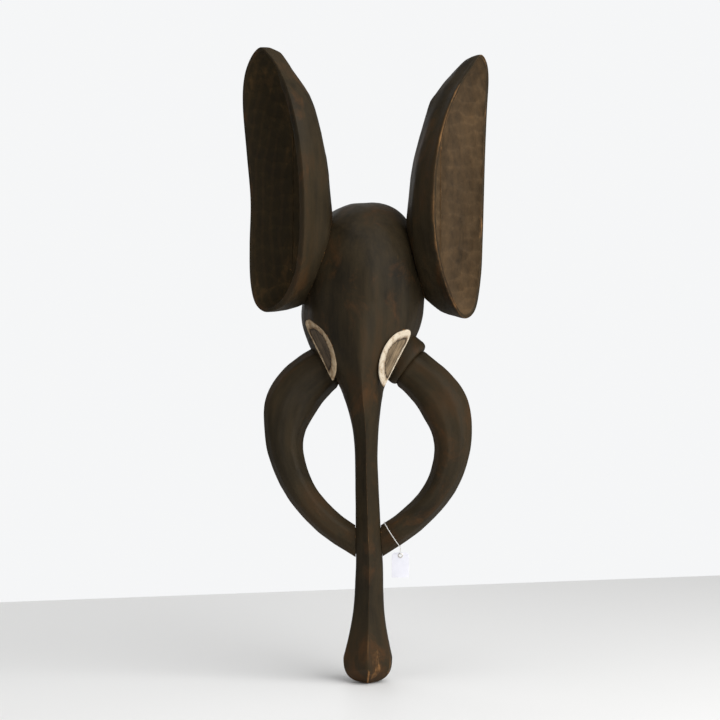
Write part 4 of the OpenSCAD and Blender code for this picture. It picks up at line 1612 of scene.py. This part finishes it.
@dataclass
class EyePlace:
    """The plane of an eye's floor: +X from the straight edge across the eye, +Z outwards.

    Args:
        down: How far both eyes look down, in degrees.
        sink: Depth of the floor below its place on the cheek.
        cut: Distance of the straight edge from the circle's centre.
        middle: Where the head's middle lies at the eyes, sideways.
        places: For each side, [distance sideways, distance forward, height, turn
            and lean in degrees, radius of the half-moon].
    """

    side: Side
    down: float = 13.0
    sink: float = 2.4
    cut: float = 9.0
    middle: float = -9.5
    places: dict = field(
        default_factory=lambda: {
            Side.LEFT: (62.5, 70, -179, 55, 28, 49.5), Side.RIGHT: (53, 87, -189, 47, 27, 46.5)
        }
    )

    def matrix(self) -> np.ndarray:
        """The eye's place as a 4 by 4 matrix, in millimetres."""
        away, fore, z, turn, lean, _ = self.places[self.side]
        s = self.side.value
        m = Matrix.Translation((s * away + self.middle, -fore, z))
        m = m @ Matrix.Rotation(math.radians(s * turn), 4, "Z")
        m = m @ Matrix.Rotation(math.radians(90 + self.down), 4, "X")
        m = m @ Matrix.Rotation(math.radians(-s * lean), 4, "Z")
        if self.side is Side.RIGHT:
            m = m @ Matrix.Scale(-1, 4, (1, 0, 0))
        return np.array(m @ Matrix.Translation((-self.cut, 0, -self.sink)))

    def radius(self) -> float:
        """Radius of the half-moon on this side."""
        return self.places[self.side][-1]

    def lift(self, points: np.ndarray) -> np.ndarray:
        """Moves points from the eye's plane to their place on the mask."""
        m = self.matrix()
        return points @ m[:3, :3].T + m[:3, 3]

    @staticmethod
    def half_moon(r: float, cut: float, count: int, soft: int = 2) -> np.ndarray:
        """The outline of a half-moon, evenly spaced, with a well rounded top corner.

        Args:
            r: Radius of its circle.
            cut: Distance of the straight edge from the circle's centre.
            count: Points in the outline.
            soft: Rounds of smoothing that its lower corner gets too.

        Returns:
            The outline's points on the eye's plane.
        """
        end = math.acos(cut / r)
        arc = np.linspace(-end, end, 200)
        edge = np.linspace(r * math.sin(end), -r * math.sin(end), 82)[1:-1]
        ring = np.vstack([
            np.column_stack([r * np.cos(arc), r * np.sin(arc)]),
            np.column_stack([np.full(len(edge), cut), edge]),
        ])
        ring = spaced_ring(ring, count)
        pitch = np.linalg.norm(ring[1] - ring[0])
        top = ease(0.3 * r, 0.75 * r, ring[:, 1])[:, None]
        corner = 0.22 * r
        for k in range(int(2 * (corner / pitch) ** 2)):
            even = 0.5 * ring + 0.25 * (np.roll(ring, 1, 0) + np.roll(ring, -1, 0))
            ring = ring + (even - ring) * (1.0 if k < soft else top)
        return ring


@dataclass
class Eye:
    """A half-moon eye: a scratched brown floor and a rim of white clay.

    Args:
        band: Width of the clay along the round side.
        line: Width of the clay along the straight edge.
        shift: How far the inner outline is moved across the eye.
        thick: Thickness of the clay.
        profile: [share of the way from the outer edge to the inner, height of the
            clay as a share of its thickness].
    """

    side: Side
    clay: Clay
    floor: ScratchedWood
    band: float = 12.5
    line: float = 1.6
    shift: float = 0.9
    thick: float = 1.6
    count: int = 360
    profile: tuple = (
        (0, 0.02), (0.012, 0.7), (0.05, 1.0), (0.2, 1.06), (0.4, 1.0),
        (0.6, 0.98), (0.8, 0.92), (0.93, 0.7), (0.985, 0.35), (1, 0.02),
    )

    def build(self) -> tuple[bpy.types.Object, bpy.types.Object]:
        """Builds the clay rim and the floor inside it."""
        name = self.side.name.lower()
        place = EyePlace(self.side)
        rng = np.random.default_rng(11 + self.side.value)
        outer = place.half_moon(place.radius(), place.cut + 0.25, self.count)
        inner = place.half_moon(place.radius() - self.band, place.cut + self.line - self.shift, self.count, 6)
        inner = self.matched(outer, inner + [self.shift, 0])
        gap = unit(outer - inner)
        rough = self.ragged(rng, 1.3, (3, 7, 13, 29)) + self.ragged(rng, 0.5, (41, 67, 90))
        width = np.linalg.norm(outer - inner, axis=1)
        inner = inner + gap * (rough * np.clip(width / self.band, 0.08, 1))[:, None]
        rings, rims = [], []
        for w, h in self.profile:
            bump = 1 + 0.12 * self.ragged(rng, 1.0, (5, 11, 23, 37))
            high = 0.03 + self.thick * h * (bump if 0.02 < w < 0.95 else 1)
            flat = outer + (inner - outer) * w
            rings.append(place.lift(np.column_stack([flat, np.broadcast_to(high, self.count)])))
            rims.append(np.full(self.count, w * np.clip(width / 4, 0, 1)))
        flat = outer + (inner - outer) * 0.5
        rings.append(place.lift(np.column_stack([flat, np.full(self.count, 0.02)])))
        rims.append(np.zeros(self.count))
        band = Bench.loft(f"{name}_eye_rim", np.array(rings), closed=True)
        Bench.write(band, "rim", np.concatenate(rims))
        Bench.finish(band, self.clay.make(), 60)
        floor = self.inlay(name, place, inner)
        return band, floor

    def matched(self, outer: np.ndarray, inner: np.ndarray) -> np.ndarray:
        """The inner outline's points, reordered to run beside the outer's."""
        a = np.arctan2(outer[:, 1], outer[:, 0] - 20)
        b = np.arctan2(inner[:, 1], inner[:, 0] - 20)
        order = np.argsort(b)
        return np.stack([np.interp(a, b[order], inner[order, k], period=2 * np.pi) for k in (0, 1)], axis=1)

    def ragged(self, rng: np.random.Generator, size: float, counts: tuple) -> np.ndarray:
        """A ragged closed line made of a few waves."""
        t = np.linspace(0, 2 * np.pi, self.count, endpoint=False)
        waves = [
            np.sin(t * k + rng.uniform(0, 6.28)) * rng.uniform(0.5, 1) / math.sqrt(len(counts))
            for k in counts
        ]
        return size * np.sum(waves, axis=0)

    def inlay(self, name: str, place: EyePlace, outline: np.ndarray) -> bpy.types.Object:
        """The scratched floor, as a thin layer that ends under the rim's inner edge.

        Args:
            name: Which eye it is in.
            place: The eye's place.
            outline: The clay's inner outline.

        Returns:
            The floor's object.
        """
        centre = outline.mean(0)
        rings, flat_points, rims = [], [], []
        edge = [(0.985, 0.02), (0.985, 0.22)]
        for share, high in edge + [(g, 0.26) for g in np.linspace(0.97, 0.02, 34)]:
            flat = centre + (outline - centre) * share
            scratches = 0.07 * np.sin(flat[:, 0] * 5.3 + 0.8 * np.sin(flat[:, 1] * 0.21))
            groove = scratches if share < 0.98 else 0
            rings.append(place.lift(np.column_stack([flat, np.broadcast_to(high + groove, len(flat))])))
            flat_points.append(flat)
            rims.append(np.full(len(flat), max(0.0, (share - 0.75) / 0.235)))
        obj = Bench.loft(f"{name}_eye_floor", np.array(rings))
        flat = np.vstack(flat_points)
        Bench.write(obj, "grain", np.column_stack([flat, np.zeros(len(flat))]) * MM)
        Bench.write(obj, "rim", np.concatenate(rims))
        Bench.finish(obj, self.floor.make(), 50)
        return obj


# ---- String and tag --------------------------------------------------------


@dataclass(frozen=True)
class TwistedCord:
    """A cord of twisted strands along a closed path, made by Geometry Nodes.

    Args:
        radius: Radius of the cord.
        turns: Whole turns of its twist.
        strand: Radius of a strand, as a share of the cord's.
        strands: Number of strands.
    """

    radius: float
    turns: int
    strand: float = 0.56
    strands: int = 3

    @staticmethod
    def tree() -> bpy.types.NodeTree:
        """The node tree, built once and shared."""
        known = bpy.data.node_groups.get("twisted_cord")
        if known:
            return known
        sizes = dict.fromkeys(("Cord radius", "Strand radius", "Twist"), "Float")
        t = new_group("twisted_cord", {**sizes, "Steps": "Int", "Strands": "Int", "Finish": "Material"})
        given = t.add("NodeGroupInput").outputs
        line = t.add("GeometryNodeResampleCurve", Curve=given["Geometry"], Count=given["Steps"])
        share = t.add("GeometryNodeSplineParameter").outputs["Factor"]
        tilt = t.math("MULTIPLY", share, given["Twist"])
        turned = t.add("GeometryNodeSetCurveTilt", Curve=line.outputs[0], Tilt=tilt)
        spread = t.math("SUBTRACT", given["Cord radius"], given["Strand radius"])
        ring = t.add("GeometryNodeCurvePrimitiveCircle", Resolution=given["Strands"], Radius=spread)
        around = t.add("GeometryNodeCurvePrimitiveCircle", Resolution=8, Radius=given["Strand radius"])
        middles = t.add("GeometryNodeCurveToPoints", {"mode": "EVALUATED"}, Curve=ring.outputs[0])
        lobes = t.add(
            "GeometryNodeInstanceOnPoints", Points=middles.outputs[0], Instance=around.outputs[0]
        )
        profile = t.add("GeometryNodeRealizeInstances", Geometry=lobes.outputs[0])
        tube = t.add("GeometryNodeCurveToMesh", Curve=turned.outputs[0], Profile_Curve=profile.outputs[0])
        real = t.add("GeometryNodeRealizeInstances", Geometry=tube.outputs[0])
        dressed = t.add("GeometryNodeSetMaterial", Geometry=real.outputs[0], Material=given["Finish"])
        t.add("NodeGroupOutput", i0=dressed.outputs[0])
        return t.tree

    def build(
        self, name: str, path: np.ndarray, steps: int, material: bpy.types.Material
    ) -> bpy.types.Object:
        """Makes the cord.

        Args:
            name: Name of the object.
            path: Points of a closed path, in millimetres.
            steps: Rings along the cord.
            material: The cord's finish.

        Returns:
            The cord's object.
        """
        curve = bpy.data.curves.new(name, "CURVE")
        curve.dimensions = "3D"
        spline = curve.splines.new("POLY")
        spline.points.add(len(path) - 1)
        spline.points.foreach_set("co", np.column_stack([path * MM, np.ones(len(path))]).ravel())
        spline.use_cyclic_u = True
        source = bpy.data.objects.new(name + "_line", curve)
        bpy.context.scene.collection.objects.link(source)
        set_nodes(source, self.tree(), {
            "Cord radius": self.radius * MM, "Strand radius": self.radius * self.strand * MM,
            "Twist": 2 * math.pi * self.turns, "Steps": steps, "Strands": self.strands, "Finish": material,
        })
        graph = bpy.context.evaluated_depsgraph_get()
        data = bpy.data.meshes.new_from_object(source.evaluated_get(graph), depsgraph=graph)
        bpy.data.objects.remove(source)
        obj = bpy.data.objects.new(name, data)
        bpy.context.scene.collection.objects.link(obj)
        Bench.finish(obj, material, 60)
        return obj


@dataclass
class StringAndTag:
    """The string round the right tusk, its thread loop, and the blank card.

    The string's place is read along the tusk's rows, hang is the top of the
    thread's loop, and slack is the gap between the thread and the eyelet's edge.
    """

    string_u: float = 8.34
    string_d: float = 1.2
    string_gap: float = 0.3
    string_power: float = 2.1
    hang: Triple = (44.9421, -76.0741, -455.749)
    loop_l: float = 9.5
    loop_w: float = 3.6
    slack: float = 0.4
    card_w: float = 24.0
    card_h: float = 35.0
    card_t: float = 0.6
    clip: float = 3.0
    hole_in: float = 4.2
    hole_r: float = 2.2
    flange: float = 1.4
    flange_t: float = 0.35
    cotton: Fibre = Fibre("white_cotton")
    paper: Fibre = Fibre("blank_card", (0.80, 0.80, 0.86), (0.74, 0.74, 0.80), 1600.0, 0.00005, 0.0)
    plate: PlatedMetal = PlatedMetal()

    def eyelet(self) -> np.ndarray:
        """The middle of the eyelet's hole, which hangs on the loop's foot."""
        return np.array(self.hang) - [0, 0, self.loop_l + self.hole_r - self.string_d / 2 - self.slack]

    def string_path(self) -> np.ndarray:
        """The string's path round the tusk."""
        tusk = TuskForm(Side.RIGHT)
        u = np.array([self.string_u])
        at, _, _ = tusk.frames(u)
        r = along(np.array(tusk.rows, float), u)[0]
        side = unit(np.cross(tusk.way(u), [0.0, 1.0, 0.0]))[0]
        g = self.string_gap + self.string_d / 2
        t = np.linspace(0, 2 * np.pi, 96, endpoint=False)[:, None]
        e = 2 / self.string_power
        wide = side * (r[3] / 2 + g) * spow(np.cos(t), e)
        deep = np.array([0.0, 1.0, 0.0]) * (r[4] / 2 + g) * spow(np.sin(t), e)
        return at[0] + wide + deep

    def loop_path(self) -> np.ndarray:
        """The thread's path over the string and through the eyelet."""
        a = np.linspace(0, 2 * np.pi, 72, endpoint=False)
        e = np.where(np.cos(a) > 0, 1.0, 0.6)
        fore = self.loop_w / 2 * spow(np.sin(a), e)
        up = self.loop_l / 2 * (spow(np.cos(a), e) - 1)
        return np.array(self.hang) + np.stack([np.zeros_like(a), fore, up], axis=1)

    def build(self) -> dict[str, bpy.types.Object]:
        """Builds the string, the thread, the card and the eyelet."""
        cotton = self.cotton.make()
        cord = TwistedCord(self.string_d / 2, 36)
        string = cord.build("string_ring", self.string_path(), 480, cotton)
        thread = TwistedCord(self.string_d / 2, 8).build("tag_thread", self.loop_path(), 160, cotton)
        return {"string": string, "thread": thread, "card": self.card(), "eyelet": self.grommet()}

    def card(self) -> bpy.types.Object:
        """The blank card, with a punched hole, clipped corners and a slight curl."""
        w, top, low = self.card_w / 2, self.hole_in, self.hole_in - self.card_h
        clip = self.clip
        corners = [(-w + clip, top), (w - clip, top), (w, top - clip), (w, low), (-w, low), (-w, top - clip)]
        line = np.array([*corners, corners[0]], float)
        sides = [spaced(line[k : k + 2], 24)[:-1] for k in range(len(corners))]
        outline = spaced(np.vstack([*sides, line[:1]]), 145)[:-1]
        start = np.argmax(np.arctan2(outline[:, 0], outline[:, 1]) > -0.02)
        outline = np.roll(outline, -start, 0)
        hole = unit(outline) * (self.hole_r + 0.47)
        rings = []
        for high in (1, -1):
            shares = np.linspace(0, 1, 16) if high == 1 else np.linspace(1, 0, 16)
            for share in shares:
                flat = hole + (outline - hole) * share
                half = (self.card_t / 2 - 0.02) * (1 if share < 0.99 else 0.7)
                rings.append(self.on_card(flat, high * half))
        card = Bench.loft("tag_paper", np.array(rings), closed=True)
        Bench.finish(card, self.paper.make(), 40)
        return card

    def on_card(self, flat: np.ndarray, high: float) -> np.ndarray:
        """Points of the card from their places on it, curled a little at its foot."""
        away = np.maximum(-flat[:, 1] - 6, 0) / 30
        curl = 0.9 * away**2 * np.cos(flat[:, 0] / 9)
        return self.eyelet() + np.column_stack([flat[:, 0], -(high + curl), flat[:, 1]])

    def grommet(self) -> bpy.types.Object:
        """The rolled eyelet pressed through the card."""
        t = np.linspace(0, 2 * np.pi, 64, endpoint=False)
        r, f, c, high = self.hole_r, self.flange, self.card_t / 2, self.flange_t
        # One face's section, from the hole outwards and back to the barrel; the other mirrors it.
        half = [
            (r, c), (r + 0.12, c + high * 0.8), (r + 0.5, c + high), (r + f - 0.3, c + high * 0.7),
            (r + f, c + 0.04), (r + f, c + 0.01), (r + 0.42, c + 0.01),
        ]
        section = [(r, 0.0), *half, *((q, -y) for q, y in reversed(half))]
        rings = [
            self.eyelet() + np.column_stack([q * np.cos(t), np.full_like(t, -y), q * np.sin(t)])
            for q, y in section
        ]
        ring = Bench.loft("tag_grommet", np.array(rings), closed=True)
        Bench.finish(ring, self.plate.make(), 40)
        return ring


# ---- Stage -----------------------------------------------------------------


@dataclass
class Stage:
    """The floor, the light and the camera.

    A lamp is [name, place, aim, size in metres, power in watts]. Backdrop is the
    strength of the background as the camera sees it, and room is that of its light.
    """

    floor_z: float = -644.3
    floor_turn: float = 14.0
    floor_half: float = 3000.0
    floor_far: float = 770.0
    floor_near: float = 5200.0
    floor_t: float = 20.0
    floor_colour: Colour = (0.84, 0.838, 0.83)
    distance: float = 4000.0
    lens: float = 142.86
    elevation: float = 4.0
    azimuth: float = 0.0
    room: float = 0.24
    backdrop: float = 0.93
    target: Triple = (-11.6, -60.0, -193.0)
    lamps: tuple = (
        ("key", (1700, -1500, 900), (0, -40, -150), 2.8, 84.0),
        ("fill", (-1600, -1700, 300), (0, -40, -150), 1.8, 7.0),
        ("top", (300, -500, 1900), (0, -40, 0), 1.6, 18.0),
        ("back", (-900, 2200, 700), (0, -40, -150), 2.4, 17.0),
    )

    def build(self) -> None:
        """Makes the floor, the lights, the world and the camera."""
        self.lay_floor()
        for lamp in self.lamps:
            self.light(*lamp)
        self.world()
        self.camera()
        bpy.context.scene.view_settings.view_transform = "Standard"
        bpy.context.scene.view_settings.look = "None"

    def lay_floor(self) -> None:
        """Makes the floor, a thin plain slab."""
        turn = math.radians(self.floor_turn)
        half, far, near = self.floor_half, self.floor_far, -self.floor_near
        x, y = np.array([[-half, far], [half, far], [half, near], [-half, near]]).T
        ring = np.column_stack([
            x * math.cos(turn) - y * math.sin(turn), x * math.sin(turn) + y * math.cos(turn),
            np.full(len(x), self.floor_z),
        ])
        floor = Bench.loft("floor", np.stack([ring, ring - [0, 0, self.floor_t]]))
        Bench.finish(floor, self.floor_finish(), 30)

    def world(self) -> None:
        """Makes the even light from all round, and a pale background."""
        world = bpy.data.worlds.new("studio")
        bpy.context.scene.world = world
        world.use_nodes = True
        world.node_tree.nodes.clear()
        t = Tree(world.node_tree)
        seen = t.add("ShaderNodeLightPath").outputs["Is Camera Ray"]
        strength = t.math("MULTIPLY_ADD", seen, self.backdrop - self.room, self.room)
        sky = t.add("ShaderNodeBackground", Color=(0.985, 0.992, 1.0, 1.0), Strength=strength)
        t.add("ShaderNodeOutputWorld", Surface=sky.outputs[0])

    def camera(self) -> None:
        """Makes the camera and aims it."""
        camera = bpy.data.objects.new("camera", bpy.data.cameras.new("camera"))
        bpy.context.scene.collection.objects.link(camera)
        e, a = math.radians(self.elevation), math.radians(self.azimuth)
        back = Vector((math.sin(a) * math.cos(e), -math.cos(a) * math.cos(e), math.sin(e)))
        camera.location = (Vector(self.target) + back * self.distance) * MM
        camera.rotation_mode = "QUATERNION"
        camera.rotation_quaternion = (-back).to_track_quat("-Z", "Y")
        camera.data.lens, camera.data.sensor_width = self.lens, 36.0
        camera.data.clip_start, camera.data.clip_end = 0.05, 50.0
        bpy.context.scene.camera = camera

    def floor_finish(self) -> bpy.types.Material:
        """A plain pale grey floor."""
        material, t = blank("pale_floor")
        surface(t, Base_Color=(*self.floor_colour, 1.0), Roughness=0.6)
        return material

    def light(self, name: str, at: Triple, to: Triple, size: float, power: float) -> None:
        """A soft square light, aimed at a point.

        Args:
            name: Name of the light.
            at: Its place, in millimetres.
            to: Where it is aimed.
            size: Length of its side, in metres.
            power: Its power, in watts.
        """
        lamp = bpy.data.lights.new(name, "AREA")
        lamp.size, lamp.energy = size, power
        obj = bpy.data.objects.new(name, lamp)
        bpy.context.scene.collection.objects.link(obj)
        obj.location = Vector(at) * MM
        obj.rotation_mode = "QUATERNION"
        obj.rotation_quaternion = (Vector(to) - Vector(at)).to_track_quat("-Z", "Y")


# ---- The whole mask --------------------------------------------------------


def dress_pegs(finish: StainedWood) -> None:
    """Gives the CAD pegs their wood."""
    material = finish.make()
    for name in ("ear_pegs", "tusk_pegs"):
        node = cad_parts[name]
        for slot in node.material_slots:
            slot.material = material


def main() -> None:
    """Builds every piece in order."""
    logging.basicConfig(level=logging.INFO, format="%(message)s")
    Stage().build()
    head_form = HeadForm()
    head = HeadAndTrunk(head_form).build()
    Bench.place(head, BODY_MASK, "stained_wood", "head_and_trunk")
    # The left ear's dish gets darker colours and the right ear's lighter ones: painted shade on the dish that
    # faces away from the key lamp, painted light on the one that faces it.
    ears = {
        Side.LEFT: (StainedWood(
            "stained_left_ear_shaded_dish", bowl=(0.026, 0.0175, 0.0065), bowl_dark=(0.012, 0.0082, 0.0036), seed=1.7
        ), 0.45),
        Side.RIGHT: (StainedWood("stained_right_ear_lit_dish", bowl=(0.094, 0.058, 0.028), seed=3.1), 0.9),
    }
    for side, (finish, rubbed) in ears.items():
        ear = Ear(side, finish, head_form, rubbed=rubbed).build()
        Bench.place(ear, BODY_MASK, "ear_wood", f"{side.name.lower()}_ear")
    for side, seed in ((Side.LEFT, 5.3), (Side.RIGHT, 7.9)):
        tusk = Tusk(side, StainedWood(f"stained_{side.name.lower()}_tusk", seed=seed), head_form).build()
        Bench.place(tusk, BODY_MASK, "stained_wood", f"{side.name.lower()}_tusk")
    eyes = {
        Side.LEFT: (
            Clay("worn_clay", (0.50, 0.385, 0.25), (0.22, 0.13, 0.06), 0.8),
            ScratchedWood("left_eye_wood", (0.028, 0.018, 0.010), (0.13, 0.092, 0.055)), 13.0,
        ),
        Side.RIGHT: (
            Clay("white_clay", (0.64, 0.555, 0.43)),
            ScratchedWood("right_eye_wood", (0.055, 0.036, 0.018), (0.30, 0.215, 0.125)), 12.5,
        ),
    }
    for side, (clay, floor, band) in eyes.items():
        rim, inlay = Eye(side, clay, floor, band).build()
        Bench.place(rim, BODY_MASK, "white_clay", f"{side.name.lower()}_eye_clay")
        Bench.place(inlay, BODY_MASK, "stained_wood")
    tag = StringAndTag().build()
    Bench.place(tag["string"], BODY_MASK, "cotton", "tusk_string")
    Bench.place(tag["thread"], BODY_THREAD, "cotton", "tag_loop")
    Bench.place(tag["card"], BODY_TAG, "card", "tag_card")
    Bench.place(tag["eyelet"], BODY_TAG, "eyelet_metal", "tag_eyelet")
    dress_pegs(StainedWood("peg_wood", dark=(0.10, 0.06, 0.03), brown=(0.20, 0.125, 0.06)))


if __name__ == "__main__":
    main()
